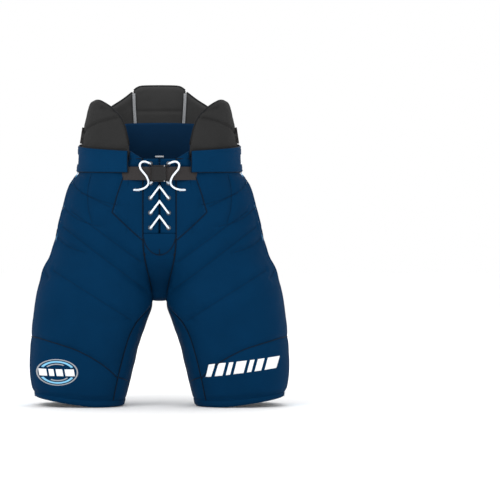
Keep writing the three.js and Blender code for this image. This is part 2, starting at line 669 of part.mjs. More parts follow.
// ---- Suspender loops ----
// A trapezium of webbing that stands at the top of the belt and leans on the hip pad.
function suspenderLoop() {
  const outline = [[-38, 0], [-24, 31], [24, 31], [38, 0]];
  const hole = [[-29.5, 0], [-19.5, 24.5], [19.5, 24.5], [29.5, 0]];
  const shape = new THREE.Shape([...outline, ...hole.reverse()].map(([x, y]) => new THREE.Vector2(x, y)));
  return new THREE.ExtrudeGeometry(shape, { depth: 3, bevelEnabled: false });
}
const LOOP_LEAN = 8 * degrees;
for (const [side, sign] of [['left', 1], ['right', -1]]) {
  const loop = add(`${side}_suspender_loop`, suspenderLoop(), CHARCOAL);
  loop.rotation.set(Math.PI / 2 - LOOP_LEAN, 0, 0);
  const turn = new THREE.Group();
  turn.rotation.z = sign * (Math.PI / 2);
  turn.position.set(sign * 148.2, -12, 497.6);
  turn.add(loop);
  pants.add(turn);
}

// The origin lies midway between the frontmost and the rearmost point.
pants.position.y = ORIGIN_SHIFT;

export default pants;
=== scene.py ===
# Ice hockey pants: padded nylon shell with a laced fly, belt, kidney pads and side stripes.
# Lengths in the tables are millimetres; objects are in metres. Front is -Y, up is +Z.
import math

import bpy
import numpy as np
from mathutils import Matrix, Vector, kdtree, noise


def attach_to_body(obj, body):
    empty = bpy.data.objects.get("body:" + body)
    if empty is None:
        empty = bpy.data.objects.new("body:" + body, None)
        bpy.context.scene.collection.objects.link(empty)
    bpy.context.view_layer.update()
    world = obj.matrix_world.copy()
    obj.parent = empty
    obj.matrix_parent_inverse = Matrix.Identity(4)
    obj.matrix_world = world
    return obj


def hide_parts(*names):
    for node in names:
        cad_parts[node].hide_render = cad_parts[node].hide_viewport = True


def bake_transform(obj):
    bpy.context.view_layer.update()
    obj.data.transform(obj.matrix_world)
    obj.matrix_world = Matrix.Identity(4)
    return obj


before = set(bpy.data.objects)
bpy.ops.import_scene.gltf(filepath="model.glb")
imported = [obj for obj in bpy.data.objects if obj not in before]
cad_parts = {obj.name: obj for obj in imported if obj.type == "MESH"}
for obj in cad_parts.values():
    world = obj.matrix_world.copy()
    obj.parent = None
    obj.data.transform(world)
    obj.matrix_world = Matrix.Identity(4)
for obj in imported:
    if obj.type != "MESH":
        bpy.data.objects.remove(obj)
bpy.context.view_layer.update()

MM = 0.001
ORIGIN_SHIFT = 6.13      # the tables count from a point this far in front of the origin

# ---- Camera ----
# Long lens, square on to the front. The object stands left of the middle of the picture.
camera_data = bpy.data.cameras.new("camera")
camera_data.lens = 300
camera_data.sensor_width = 36
camera_data.shift_x = 0.181
camera = bpy.data.objects.new("camera", camera_data)
bpy.context.scene.collection.objects.link(camera)
AIM = Vector((0, 0, 0.2948))
ELEVATION = math.radians(1.5)
DISTANCE = 7.95
camera.location = AIM + DISTANCE * Vector((0, -math.cos(ELEVATION), math.sin(ELEVATION)))
camera.rotation_euler = (math.radians(90) - ELEVATION, 0, 0)
bpy.context.scene.camera = camera


# ---- The outer surface ----
def profile(points):
    """A smooth curve through points (x, y), flat beyond its ends."""
    px, py = (np.array(c, float) for c in zip(*points))
    n = len(px)
    after, before = np.minimum(np.arange(n) + 1, n - 1), np.maximum(np.arange(n) - 1, 0)
    slope = (py[after] - py[before]) / (px[after] - px[before])

    def read(x):
        x = np.clip(np.asarray(x, float), px[0], px[-1])
        i = np.clip(np.searchsorted(px, x, side="left") - 1, 0, n - 2)
        span = px[i + 1] - px[i]
        t = (x - px[i]) / span
        return (py[i] * (1 + 2 * t) * (1 - t) ** 2 + slope[i] * span * t * (1 - t) ** 2
                + py[i + 1] * t * t * (3 - 2 * t) + slope[i + 1] * span * t * t * (t - 1))
    return read


def polyline(points):
    px, py = zip(*points)
    return lambda x: np.interp(x, px, py)


leg_out = profile([(0, 236), (60, 242.5), (130, 239.5), (200, 231), (250, 221), (275, 209), (320, 195)])
leg_in = profile([(0, 69), (60, 55), (120, 40), (160, 26), (200, 13), (320, 5)])
leg_front = profile([(0, -106), (30, -113), (80, -123), (140, -134), (210, -141), (320, -137)])
leg_back = profile([(0, 78), (50, 83), (110, 92), (170, 101), (215, 109), (245, 121), (275, 133), (320, 140)])
front_inseam = profile([(0, 131), (110, 134), (160, 140), (200, 167), (320, 167)])
back_inseam = profile([(0, 140), (160, 145), (200, 167), (320, 167)])
waist_out = profile([(200, 234), (245, 222), (262, 216), (275, 208), (291, 202), (320, 195), (351, 187),
                     (382, 179.5), (412, 170), (443, 155), (470, 149), (503, 145.5), (564, 134), (610, 120)])
waist_front = profile([(320, -137), (390, -138), (443, -135), (470, -134), (515, -139), (610, -132)])
waist_back = profile([(320, 140), (351, 142), (400, 138), (443, 135), (470, 131), (503, 128), (610, 126)])
waist_share = profile([(200, 0), (215, 0.1), (230, 0.27), (250, 0.53), (275, 0.8), (300, 0.96), (320, 1)])
abdomen_edge = polyline([(317, 0.004), (369, 0.131), (446, 0.087), (470, 0.068), (484, 0.064)])
lower_seam = profile([(0, 55), (0.1, 88), (0.2, 112), (0.34, 130), (0.5, 131)])
hip_pad_top = profile([(0.071, 488), (0.078, 505), (0.099, 532), (0.13, 551), (0.197, 569), (0.29, 580),
                       (0.37, 581.5), (0.5, 579), (0.65, 577), (0.772, 571)])
spine_seam = polyline([(471, 0.908), (538, 0.896), (600, 0.88)])
kidney_top = profile([(0.776, 568.5), (0.832, 582.5), (0.877, 597), (0.907, 607.5)])
spine_top = profile([(0.877, 597), (0.89, 603), (0.907, 607.5), (0.93, 609), (1, 609.5)])
casing_lift = polyline([(0.071, 3.6), (0.084, 3.6), (0.125, 2.2), (0.167, 0)])
casing_top = profile([(0.071, 485), (0.5, 494), (1, 503)])
FLY_HALF = 31            # the shell's front edges stand this far from the middle
STRIPE_Y = -14           # the side stripe's middle, which is at the share SIDE of the girth
SIDE = 0.5               # shares run from 0 at the fly to 1 at the middle of the back
SUPER = 2.8              # power of the superellipses round the girth
HEM_RISE, RISE_FROM_X, RISE_TOP_Z = 18, 120, 130
HEM_TOP, SHELL_TOP, INSEAM_TOP = 11.0, 471.0, 199.5
CASING_FOOT = 443.5
RAD = math.pi / 180
Z_STEP = 2.0
Z_ROWS = np.arange(0, 612.1, Z_STEP)
COLUMNS = 121


def run(centre, half, start, end):
    """Points on a superellipse between two angles, evenly spaced, and the run's length."""
    angle = np.linspace(start, end, 400)
    x = centre[0] + half[0] * np.sign(np.cos(angle)) * np.abs(np.cos(angle)) ** (2 / SUPER)
    y = centre[1] + half[1] * np.sign(np.sin(angle)) * np.abs(np.sin(angle)) ** (2 / SUPER)
    length = np.concatenate([[0], np.cumsum(np.hypot(np.diff(x), np.diff(y)))])
    at = np.linspace(0, length[-1], COLUMNS)
    return np.stack([np.interp(at, length, x), np.interp(at, length, y)], 1), length[-1]


outer_table, inner_table, girth = [], [], []
for z in Z_ROWS:
    w = float(waist_share(z))
    xo, xi, yf, yb = (float(f(z)) for f in (leg_out, leg_in, leg_front, leg_back))
    centre, half = ((xo + xi) / 2, (yf + yb) / 2), ((xo - xi) / 2, (yb - yf) / 2)
    fi, bi = float(front_inseam(z)) * RAD, float(back_inseam(z)) * RAD
    leg_f, _ = run(centre, half, -fi, 0)
    leg_b, _ = run(centre, half, 0, bi)
    leg_i, inner_length = run(centre, half, bi, 2 * math.pi - fi)
    wo, wf, wb = (float(f(z)) for f in (waist_out, waist_front, waist_back))
    wc, wh = (0, (wf + wb) / 2), (wo, (wb - wf) / 2)
    fly = -math.acos((FLY_HALF / wh[0]) ** (SUPER / 2))
    side = -math.asin(((wc[1] - STRIPE_Y) / wh[1]) ** (SUPER / 2))
    w_f, _ = run(wc, wh, fly, side)
    w_b, _ = run(wc, wh, side, math.pi / 2)
    f = leg_f * (1 - w) + w_f * w
    b = leg_b * (1 - w) + w_b * w
    outer_table.append(np.concatenate([f, b[1:]]))
    inner_table.append(leg_i)
    girth.append([np.hypot(*np.diff(f, axis=0).T).sum(), np.hypot(*np.diff(b, axis=0).T).sum(), inner_length])
outer_table, inner_table, girth = np.array(outer_table), np.array(inner_table), np.array(girth)


def read(table, a, z):
    """Bilinear reading of a surface table at share a and height z."""
    a, z = np.broadcast_arrays(np.asarray(a, float), np.asarray(z, float))
    n = table.shape[1] - 1
    fa = np.clip(a, 0, 1) * n
    fz = np.clip(z / Z_STEP, 0, len(Z_ROWS) - 1)
    i, j = np.minimum(fz.astype(int), len(Z_ROWS) - 2), np.minimum(fa.astype(int), n - 1)
    ti, tj = (fz - i)[..., None], (fa - j)[..., None]
    return (table[i, j] * (1 - ti) * (1 - tj) + table[i + 1, j] * ti * (1 - tj)
            + table[i, j + 1] * (1 - ti) * tj + table[i + 1, j + 1] * ti * tj)


def raised(table, a, z):
    """Points of a surface. The hem and what is near it rise towards the outside of the leg."""
    xy = read(table, a, z)
    out = np.clip((xy[..., 0] - RISE_FROM_X) / RISE_FROM_X, 0, 1) ** 1.3
    height = z + HEM_RISE * out * np.clip(1 - z / RISE_TOP_Z, 0, 1) ** 2
    return np.concatenate([xy, height[..., None]], -1)


def surface(table, a, z):
    """Points and outward normals."""
    a, z = np.broadcast_arrays(np.asarray(a, float), np.asarray(z, float))
    e = 0.006
    along = raised(table, np.minimum(a + e, 1), z) - raised(table, np.maximum(a - e, 0), z)
    up = raised(table, a, np.minimum(z + 3, Z_ROWS[-1])) - raised(table, a, np.maximum(z - 3, 0))
    n = np.cross(along, up)
    n /= np.linalg.norm(n, axis=-1, keepdims=True)
    return raised(table, a, z), n


def flat_length(part, a, z):
    """Distance round the girth from the patch's start, in mm."""
    row = np.clip(z / Z_STEP, 0, len(Z_ROWS) - 1)
    f, b, i = (np.interp(row, np.arange(len(Z_ROWS)), girth[:, k]) for k in range(3))
    if part == "inner":
        return a * i
    return np.where(a < SIDE, a / SIDE * f, f + (a - SIDE) / (1 - SIDE) * b)


def share_at_x(x, z):
    """The share on the front half where the surface has this x."""
    a = np.linspace(0, SIDE, 200)
    return float(np.interp(x, read(outer_table, a, np.full(200, float(z)))[:, 0], a))


def share_at_y(y, z):
    a = np.linspace(0, 1, 400)
    ys = np.maximum.accumulate(read(outer_table, a, np.full(400, float(z)))[:, 1])
    return float(np.interp(y, ys + np.arange(400) * 1e-6, a))


def between(p, i, t):
    """A share t of the way from row i of p to the next, on a smooth curve through the rows."""
    p0, p1, p2, p3 = p[max(i - 1, 0)], p[i], p[i + 1], p[min(i + 2, len(p) - 1)]
    return 0.5 * (2 * p1 + (p2 - p0) * t + (2 * p0 - 5 * p1 + 4 * p2 - p3) * t * t
                  + (3 * p1 - p0 - 3 * p2 + p3) * t ** 3)


def dense(points, step=2.0):
    """A run of points through a few, straight between two and smooth through more."""
    p = np.array(points, float)
    counts = [max(2, int(np.hypot(*gap) / step)) for gap in np.diff(p, axis=0)]
    if len(p) == 2:
        return [tuple(p[0] + (p[1] - p[0]) * t) for t in np.linspace(0, 1, counts[0])]
    return [tuple(between(p, i, t)) for i, n in enumerate(counts)
            for t in np.linspace(0, 1, n, endpoint=i == len(p) - 2)]


def front_line(points):
    return [(share_at_x(x, z), z) for x, z in dense(points)]


def side_line(points):
    return [(share_at_y(y, z), z) for y, z in dense(points)]


def walked(path):
    """Distance along a run of points, from its start to each of them."""
    return np.concatenate([[0], np.cumsum(np.linalg.norm(np.diff(path, axis=0), axis=1))])


def evenly(path, count=None):
    """The same run as evenly spaced points, 3 mm apart unless their count is given."""
    length = walked(path)
    at = np.linspace(0, length[-1], count or max(4, int(length[-1] / 3.0)))
    return np.stack([np.interp(at, length, path[:, k]) for k in range(path.shape[1])], -1)


def smooth_path(points, count):
    """An even run of points on a smooth curve through a few."""
    p = np.array(points, float)
    fine = [between(p, i, t) for i in range(len(p) - 1) for t in np.linspace(0, 1, 12, endpoint=False)]
    return evenly(np.array(fine + [p[-1]]), count)


# ---- Seams and sewn channels of the shell, left side ----
SEAMS = {
    "abdomen": [(float(abdomen_edge(z)), z) for z in np.arange(317, 485, 2.0)],
    "lower": [(a, float(lower_seam(a))) for a in np.linspace(0, share_at_y(-45.5, 135), 110)],
    "seat": side_line([(107, 441), (75, 393), (24, 327)]),
    "rear_lower": side_line([(24, 327), (58, 237), (45, 188), (27.5, 114), (18, 63)]),
    "rear_branch": side_line([(58, 237), (86, 211), (101, 190)]),
    "front_dart": side_line([(-100, 439), (-119, 348)]),
    "knee": side_line([(27, 112), (18, 112)]),
    "hem": [(a, 15.0) for a in np.linspace(0, 1, 200)],
}
CHANNELS = {
    "hip_1": front_line([(147, 405), (118, 391), (90, 378)]),
    "hip_2": front_line([(166, 370), (112, 332), (33, 274)]),
    "hip_3": front_line([(181, 340), (112, 288), (26, 222)]),
    "thigh": front_line([(200, 258), (128, 214), (52, 165)]),
    "side_1": side_line([(-52, 424), (-107, 401), (-133, 383)]),
    "side_2": side_line([(-52, 376), (-81, 365), (-126, 342)]),
    "side_3": side_line([(-58, 319), (-118, 293)]),
    "side_4": side_line([(-52, 258), (-128, 226)]),
    "seat_1": side_line([(136, 355), (75, 397), (24, 426)]),
    "seat_2": side_line([(132, 310), (83, 344), (52, 359), (22, 376)]),
    "seat_3": side_line([(124, 262), (86, 286), (40, 308), (20, 318)]),
}
WHITE_FROM, STRIPE_HALF = 22.0, 32.0


def tree_of(lines):
    """A search tree over points along lines on the surface."""
    points = np.concatenate([surface(outer_table, *np.array(line).T)[0] for line in lines])
    tree = kdtree.KDTree(len(points))
    for i, p in enumerate(points):
        tree.insert(p, i)
    tree.balance()
    return tree


seam_tree = tree_of(SEAMS.values())
channel_tree = tree_of(CHANNELS.values())


def distances(tree, points):
    return np.array([tree.find(p)[2] for p in points])


def ripple(points, scale, seed):
    return np.array([noise.noise(Vector(p) * scale + Vector((seed, 0, 0))) for p in points])


PUFF = 5.0               # how far the quilting swells past the outline


def dip(distance, width):
    return np.exp(-(distance / width) ** 2)


def falls(x, width):
    """1 below zero and 0 above it, with a soft edge."""
    return 1 / (1 + np.exp(x / width))


def shell_height(a, z, points):
    """How far the padded shell stands proud of the outline."""
    seam, channel = distances(seam_tree, points), distances(channel_tree, points)
    reach = flat_length("outer", a, z) - flat_length("outer", np.full_like(z, SIDE), z)
    reach = np.abs(np.where(np.abs(a - SIDE) < 0.2, points[:, 1] - STRIPE_Y, reach))
    # Seams and channels press the padding in, less so near the stripe.
    beside = 1 - 0.9 * np.exp(-(reach / 58) ** 4)
    h = PUFF * (1 - beside * (0.62 * dip(seam, 5.5) + 0.16 * dip(seam, 16)))
    h *= 1 - beside * (0.60 * dip(channel, 6.5) + 0.22 * dip(channel, 18))
    # It is flat under the belt's strap beside the fly, under the stripe and under the belt casing.
    strap = np.exp(-((z - 442) / 15) ** 6) * falls(points[:, 0] - 73, 2) * (a < 0.2)
    h *= 1 - 0.97 * strap
    h *= 1 - 0.97 * falls(reach - 34.5, 1.2)
    h += 1.2 * dip(reach - 40, 6.5) * np.clip((441 - z) / 10, 0, 1)
    h *= 1 - 0.9 * falls(437 - z, 3.5) * np.clip((a - 0.064) / 0.01, 0, 1)
    # The cloth puckers, most of all near the stitching.
    near = np.exp(-np.minimum(seam, channel) / 16) * (1 - strap)
    h += 0.9 * ripple(points, 0.045, 3) * (0.5 + near) * (1 - strap)
    return h + 0.55 * ripple(points, 0.11, 9) * near


def border(length_in, length_out, z, bottom, top, wide=10.0):
    """0 on a patch's sewn border and 1 well inside it."""
    f = np.ones_like(z)
    for d in (length_in, length_out, 2 * (z - bottom), top - z):
        if d is not None:
            f = f * (1 - np.exp(-(np.maximum(d, 0) / wide) ** 1.3))
    return f


# ---- Mesh making ----
def build(name, points, faces, material, uvs=None):
    mesh = bpy.data.meshes.new(name)
    placed = (np.asarray(points) + (0, ORIGIN_SHIFT, 0)) * MM
    mesh.from_pydata([tuple(p) for p in placed], [], [tuple(int(i) for i in f) for f in faces])
    if uvs is not None:
        layer = mesh.uv_layers.new(name="flat")
        loops = np.zeros(len(mesh.loops), int)
        mesh.loops.foreach_get("vertex_index", loops)
        layer.data.foreach_set("uv", (np.asarray(uvs)[loops] * MM).ravel())
    mesh.polygons.foreach_set("use_smooth", [True] * len(mesh.polygons))
    for m in material if isinstance(material, (list, tuple)) else [material]:
        mesh.materials.append(m)
    obj = bpy.data.objects.new(name, mesh)
    bpy.context.scene.collection.objects.link(obj)
    return obj


def grid_faces(rows, cols, offset=0, flip=False, closed=False):
    i, j = np.meshgrid(np.arange(rows - 1), np.arange(cols if closed else cols - 1), indexing="ij")
    a, b = i * cols + j, i * cols + (j + 1) % cols
    c, d = b + cols, a + cols
    quad = np.stack([a, b, c, d], -1).reshape(-1, 4) + offset
    return quad[:, ::-1] if flip else quad


def slab(name, outer, inner, material, uv=None, closed=False, inner_slot=0):
    """A closed body between two grids of points (rows, columns, 3), walled round its border."""
    rows, cols = outer.shape[:2]
    n = rows * cols
    faces = [grid_faces(rows, cols, closed=closed), grid_faces(rows, cols, n, flip=True, closed=closed)]
    count = len(faces[0])
    j = np.arange(cols if closed else cols - 1)
    k = (j + 1) % cols
    top = (rows - 1) * cols
    faces.append(np.stack([j, j + n, k + n, k], -1))
    faces.append(np.stack([top + k, top + k + n, top + j + n, top + j], -1))
    if not closed:
        i = np.arange(rows - 1) * cols
        faces.append(np.stack([i + cols, i + cols + n, i + n, i], -1))
        e = i + cols - 1
        faces.append(np.stack([e, e + n, e + cols + n, e + cols], -1))
    points = np.concatenate([outer.reshape(-1, 3), inner.reshape(-1, 3)])
    uvs = None if uv is None else np.concatenate([uv.reshape(-1, 2)] * 2)
    obj = build(name, points, np.concatenate(faces), material, uvs=uvs)
    if inner_slot:
        index = np.zeros(len(obj.data.polygons), int)
        index[count:2 * count] = inner_slot
        obj.data.polygons.foreach_set("material_index", index)
    return obj


def mirrored(obj, name):
    """The right-hand copy of a left-hand piece."""
    mesh = obj.data.copy()
    mesh.name = name
    co = np.zeros(len(mesh.vertices) * 3)
    mesh.vertices.foreach_get("co", co)
    co[::3] *= -1
    mesh.vertices.foreach_set("co", co)
    mesh.flip_normals()
    mesh.update()
    twin = bpy.data.objects.new(name, mesh)
    bpy.context.scene.collection.objects.link(twin)
    return twin


# ---- Materials ----
def rgb(r, g, b):
    """A display colour, 0 to 255, as linear light."""
    linear = [((c / 255 + 0.055) / 1.055) ** 2.4 if c > 10 else c / 255 / 12.92 for c in (r, g, b)]
    return (*linear, 1.0)


def material(name, colour, rough, *, weave=0, depth=0.15, ribs=0, mottle=0.08, metal=0, sheen=0.0, spec=0.5,
             space="UV", fuzz=0.0, coat=0.0):
    """Woven, knitted or moulded stuff. weave and ribs are thread spacings in millimetres."""
    m = bpy.data.materials.new(name)
    m.use_nodes = True
    t = m.node_tree
    n, link = t.nodes, t.links.new

    def node(kind, **values):
        made = n.new("ShaderNode" + kind)
        for socket, value in values.items():
            made.inputs[socket].default_value = value
        return made

    p = n["Principled BSDF"]
    for socket, value in (("Roughness", rough), ("Metallic", metal), ("Specular IOR Level", spec),
                          ("Sheen Weight", sheen), ("Sheen Roughness", 0.5), ("Coat Weight", coat)):
        p.inputs[socket].default_value = value
    where = node("TexCoord")
    patchy, fine = node("TexNoise", Scale=22, Detail=6), node("TexNoise", Scale=900, Detail=3)
    for grain in (patchy, fine):
        link(where.outputs["Object"], grain.inputs["Vector"])
    mixed = node("Mix")
    mixed.data_type = "FLOAT"
    mixed.inputs[0].default_value = 0.35
    link(patchy.outputs["Fac"], mixed.inputs[2])
    link(fine.outputs["Fac"], mixed.inputs[3])
    ramp = node("ValToRGB")
    for stop, at, change in zip(ramp.color_ramp.elements, (0.3, 0.7), (1 - mottle, 1 + mottle)):
        stop.position = at
        stop.color = tuple(min(1, c * change) for c in colour[:3]) + (1,)
    link(mixed.outputs[0], ramp.inputs["Fac"])
    last = ramp.outputs["Color"]
    height = fine.outputs["Fac"]
    if weave or ribs:
        waves = []
        for axis, pitch in (("X", weave or ribs), ("Y", weave)):
            if not pitch:
                continue
            wave = node("TexWave", Scale=0.314 / (pitch * MM), Distortion=0.6, Detail=1)
            wave.bands_direction = axis
            link(where.outputs[space], wave.inputs["Vector"])
            waves.append(wave.outputs["Fac"])
        height = waves[0]
        if len(waves) == 2:
            both = node("Math")
            both.operation = "MULTIPLY"
            for k in (0, 1):
                link(waves[k], both.inputs[k])
            height = both.outputs[0]
        dark = node("Mix")
        dark.data_type = "RGBA"
        dark.blend_type = "MULTIPLY"
        dark.inputs[0].default_value = 0.35
        shade = node("ValToRGB")
        for stop, grey in zip(shade.color_ramp.elements, (0.55, 1.12)):
            stop.color = (grey, grey, grey, 1)
        link(height, shade.inputs["Fac"])
        link(last, dark.inputs[6])
        link(shade.outputs["Color"], dark.inputs[7])
        last = dark.outputs[2]
    link(last, p.inputs["Base Color"])
    bump = node("Bump", Strength=0.6, Distance=depth * MM)
    link(height, bump.inputs["Height"])
    if fuzz:
        soft = node("Bump", Strength=0.5, Distance=fuzz * MM)
        link(patchy.outputs["Fac"], soft.inputs["Height"])
        link(soft.outputs["Normal"], bump.inputs["Normal"])
    link(bump.outputs["Normal"], p.inputs["Normal"])
    return m


NAVY_RGB, PAD_RGB, SKY_RGB = rgb(3, 44, 76), rgb(46, 46, 46), rgb(50, 153, 207)
nylon = material("navy_nylon", NAVY_RGB, 0.68, weave=1.1, depth=0.16, spec=0.02, fuzz=0.25)
belt_cloth = material("belt_nylon", rgb(4, 47, 80), 0.68, ribs=1.4, depth=0.25, spec=0.02)
pad_cloth = material("pad_cloth", PAD_RGB, 0.85, weave=1.8, depth=0.3, sheen=0.01, spec=0.04, fuzz=0.2)
# The pads' inner faces get a lighter grey than pad_cloth: painted light that lifts the shade falling on the
# inside of the pads.
pad_inner_painted_light = material("pad_inner_painted_light", rgb(62, 62, 62), 0.9, weave=1.8, depth=0.3, sheen=0.01, spec=0.04,
                      fuzz=0.2)
lining = material("liner_cloth", rgb(26, 27, 30), 0.9, weave=2.2, depth=0.3, sheen=0.04, spec=0.1)
navy_lining = material("navy_lining", rgb(7, 47, 80), 0.85, weave=1.6, depth=0.25, spec=0.12)
sky_cloth = material("stripe_cloth", SKY_RGB, 0.6, weave=1.0, depth=0.14, mottle=0.04, spec=0.3)
white_cloth = material("white_cloth", rgb(246, 247, 248), 0.6, weave=1.0, depth=0.14, mottle=0.03, spec=0.3)
print_white = material("print_white", rgb(240, 242, 244), 0.45, mottle=0.03, depth=0.03)
print_sky = material("print_sky", rgb(120, 190, 226), 0.45, mottle=0.03, depth=0.03)
print_grey = material("print_grey", rgb(150, 154, 160), 0.45, mottle=0.03, depth=0.03)
piping_grey = material("piping_grey", rgb(150, 152, 155), 0.6, mottle=0.06, depth=0.08)
black_binding = material("black_binding", rgb(22, 23, 25), 0.75, mottle=0.08, depth=0.12, spec=0.15)
welt_cloth = material("welt", rgb(3, 17, 31), 0.7, mottle=0.06, depth=0.05, spec=0.15)
quilt_thread = material("quilt_thread", rgb(2, 28, 50), 0.7, mottle=0.05, depth=0.05, spec=0.1)
thread = material("thread", rgb(16, 62, 100), 0.6, mottle=0.05, depth=0.05, spec=0.2)
webbing_cloth = material("webbing", rgb(46, 43, 43), 0.7, ribs=1.6, depth=0.3, space="Object", spec=0.2)
lace_cloth = material("lace_cord", rgb(232, 240, 248), 0.75, mottle=0.06, depth=0.15, sheen=0.1)
aglet_stuff = material("aglet_plastic", rgb(205, 214, 224), 0.25, mottle=0.02, depth=0.02, coat=0.3)
eyelet_metal = material("eyelet_metal", rgb(96, 100, 106), 0.32, mottle=0.1, depth=0.03, metal=1)
pin_metal = material("pin_metal", rgb(150, 152, 155), 0.3, mottle=0.08, depth=0.02, metal=1)
buckle_plastic = material("buckle_plastic", rgb(21, 20, 21), 0.4, mottle=0.08, depth=0.05, spec=0.3)


def bend(obj):
    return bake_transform(obj)


def both_sides(obj, name, nodes, how):
    """Names a left piece, makes its mirror image and hides the CAD nodes it replaces; ties both to the frame,
    or with how "bend" bakes their transforms instead.
    """
    obj.name = "left_" + name
    twin = mirrored(obj, "right_" + name)
    for side, piece in (("left", obj), ("right", twin)):
        if nodes:
            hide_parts(*[side + "_" + node for node in nodes])
        if how == "bend":
            bend(piece)
        else:
            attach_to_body(piece, side + "_leg" if how == "leg" else "waist")


def attach(piece, slot_name, *nodes, body="waist"):
    """Ties a single piece to the frame, in place of some CAD nodes or of none."""
    if nodes:
        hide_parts(*nodes)
    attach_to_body(piece, body)


INNER_DEPTH = profile([(0, 15.6), (250, 15.6), (320, 12), (600, 12)])


def front_top(a):
    """The front half stands higher beside the fly, where the belt leaves it bare."""
    return np.where(a < 0.066, 469 + 14 * np.clip(a / 0.062, 0, 1), SHELL_TOP)


def shell_patch(name, a0, a1, rows, top, ends):
    """A padded half from the hem up, between two shares. ends tells which of its sides are sewn down."""
    a, t = np.meshgrid(np.linspace(a0, a1, 112), np.linspace(0, 1, rows))
    high = top(a)
    z = HEM_TOP * (1 - t) + high * t
    p, n = surface(outer_table, a, z)
    h = shell_height(a.ravel(), z.ravel(), p.reshape(-1, 3)).reshape(a.shape)
    u, u0, u1 = (flat_length("outer", share, z) for share in (a, np.full_like(z, a0), np.full_like(z, a1)))
    f = border(u - u0 if ends[0] else None, u1 - u if ends[1] else None, z, HEM_TOP, high)
    outer = p + n * (h * f - 0.3)[..., None]
    depth = np.minimum(INNER_DEPTH(z), 4 + 11.6 * border(None, None, z, HEM_TOP - 6, high, 14))
    inner = p - n * depth[..., None]
    return slab(name, outer, inner, [nylon, lining], uv=np.stack([u, z], -1), inner_slot=1)


front = shell_patch("front", 0.0, SIDE, 210, front_top, (True, False))
both_sides(front, "front_panel", ["abdomen_panel", "hip_front_panel", "thigh_front_panel",
                                  "lower_thigh_panel", "thigh_guard", "thigh_foam", "hip_guard"],
           "bend")
rear = shell_patch("rear", SIDE, 1.0, 200, lambda a: np.full_like(a, SHELL_TOP), (False, True))
both_sides(rear, "rear_panel", ["seat_panel", "thigh_rear_panel", "leg_liner", "hip_gore"],
           "bend")


def inner_patch():
    a, z = np.meshgrid(np.linspace(0, 1, 60), np.linspace(HEM_TOP, INSEAM_TOP, 90))
    p, n = surface(inner_table, a, z)
    u = flat_length("inner", a, z)
    f = border(u, flat_length("inner", np.ones_like(z), z) - u, z, HEM_TOP, INSEAM_TOP)
    ripples = ripple(p.reshape(-1, 3), 0.05, 21).reshape(z.shape)
    outer = p + n * ((2.6 + 0.9 * ripples) * f - 0.3)[..., None]
    inner = p - n * (5 + 8 * f)[..., None]
    return slab("inner", outer, inner, [nylon, lining], uv=np.stack([u, z], -1), inner_slot=1)


both_sides(inner_patch(), "inner_thigh", ["inner_thigh_panel"], "bend")


# ---- Hems: a turned and stitched edge round each leg ----
def ring(a_outer, z):
    """The whole loop of a leg at height z: outer run, then inner thigh."""
    p, n = surface(outer_table, np.linspace(0, 1, a_outer), np.full(a_outer, float(z)))
    q, m = surface(inner_table, np.linspace(0, 1, a_outer // 2), np.full(a_outer // 2, float(z)))
    return np.concatenate([p[:-1], q[:-1]]), np.concatenate([n[:-1], m[:-1]])


# Depth below the outline and height, round the section of the turned edge.
section = [(0.4, 13.2), (-1.6, 11.5), (-2.0, 7.0), (-1.6, 2.6), (0.6, 0.5), (4.0, 0.1), (10.0, 0.1),
           (14.0, 0.8), (15.6, 4.0), (15.8, 9.0), (14.6, 13.0)]
loops = []
for depth, z in section:
    p, n = ring(181, z)
    q = p - n * depth
    q[:, 2] = p[:, 2]
    loops.append(q)
loops = np.array(loops)
hem_faces = grid_faces(len(section), loops.shape[1], closed=True)
last = (len(section) - 1) * loops.shape[1]
k = np.arange(loops.shape[1])
k2 = (k + 1) % loops.shape[1]
hem_faces = np.concatenate([hem_faces[:, ::-1], np.stack([k, last + k, last + k2, k2], -1)[:, ::-1]])
around = walked(loops[3])
hem_uv = np.stack([np.tile(around, len(section)), np.repeat(np.arange(len(section)) * 4.0, len(around))], -1)
hem = build("hem", loops.reshape(-1, 3), hem_faces, nylon, uvs=hem_uv)
both_sides(hem, "hem", ["hem_binding"], "leg")


# ---- Side stripes ----
def stripe():
    rows, cols = 230, 29
    reach, z = np.meshgrid(np.linspace(-STRIPE_HALF, STRIPE_HALF, cols), np.linspace(1.2, 443, rows))
    near = np.linspace(SIDE - 0.2, SIDE + 0.2, 160)
    a = np.array([np.interp(STRIPE_Y + across, read(outer_table, near, np.full(160, level[0]))[:, 1], near)
                  for across, level in zip(reach, z)])
    p, n = surface(outer_table, a, z)
    n[..., 1] *= 0.2
    h = shell_height(a.ravel(), z.ravel(), p.reshape(-1, 3)).reshape(a.shape)
    h = h * border(None, None, z, HEM_TOP, SHELL_TOP)
    h = np.maximum(h, 0.1) + 1.8 * np.exp(-(z / 13.5) ** 8)
    edge = STRIPE_HALF - np.abs(reach)
    swell = 0.65 + 0.3 * (1 - np.exp(-edge / 2.5)) - 0.45 * np.exp(-((np.abs(reach) - WHITE_FROM) / 1.2) ** 2)
    outer = p + n * (h + swell)[..., None]
    inner = p + n * (h - 1.2)[..., None]
    obj = slab("stripe", outer, inner, [sky_cloth, white_cloth], uv=np.stack([reach, z], -1))
    centres = reach[:-1, :-1] + (reach[0, 1] - reach[0, 0]) / 2
    white = (np.abs(centres) > WHITE_FROM).ravel().astype(int)
    index = np.zeros(len(obj.data.polygons), int)
    index[:len(white)] = white
    index[len(white):2 * len(white)] = white
    index[-2 * (rows - 1):] = 1
    obj.data.polygons.foreach_set("material_index", index)
    return obj


both_sides(stripe(), "stripe", ["side_stripe"], "bend")


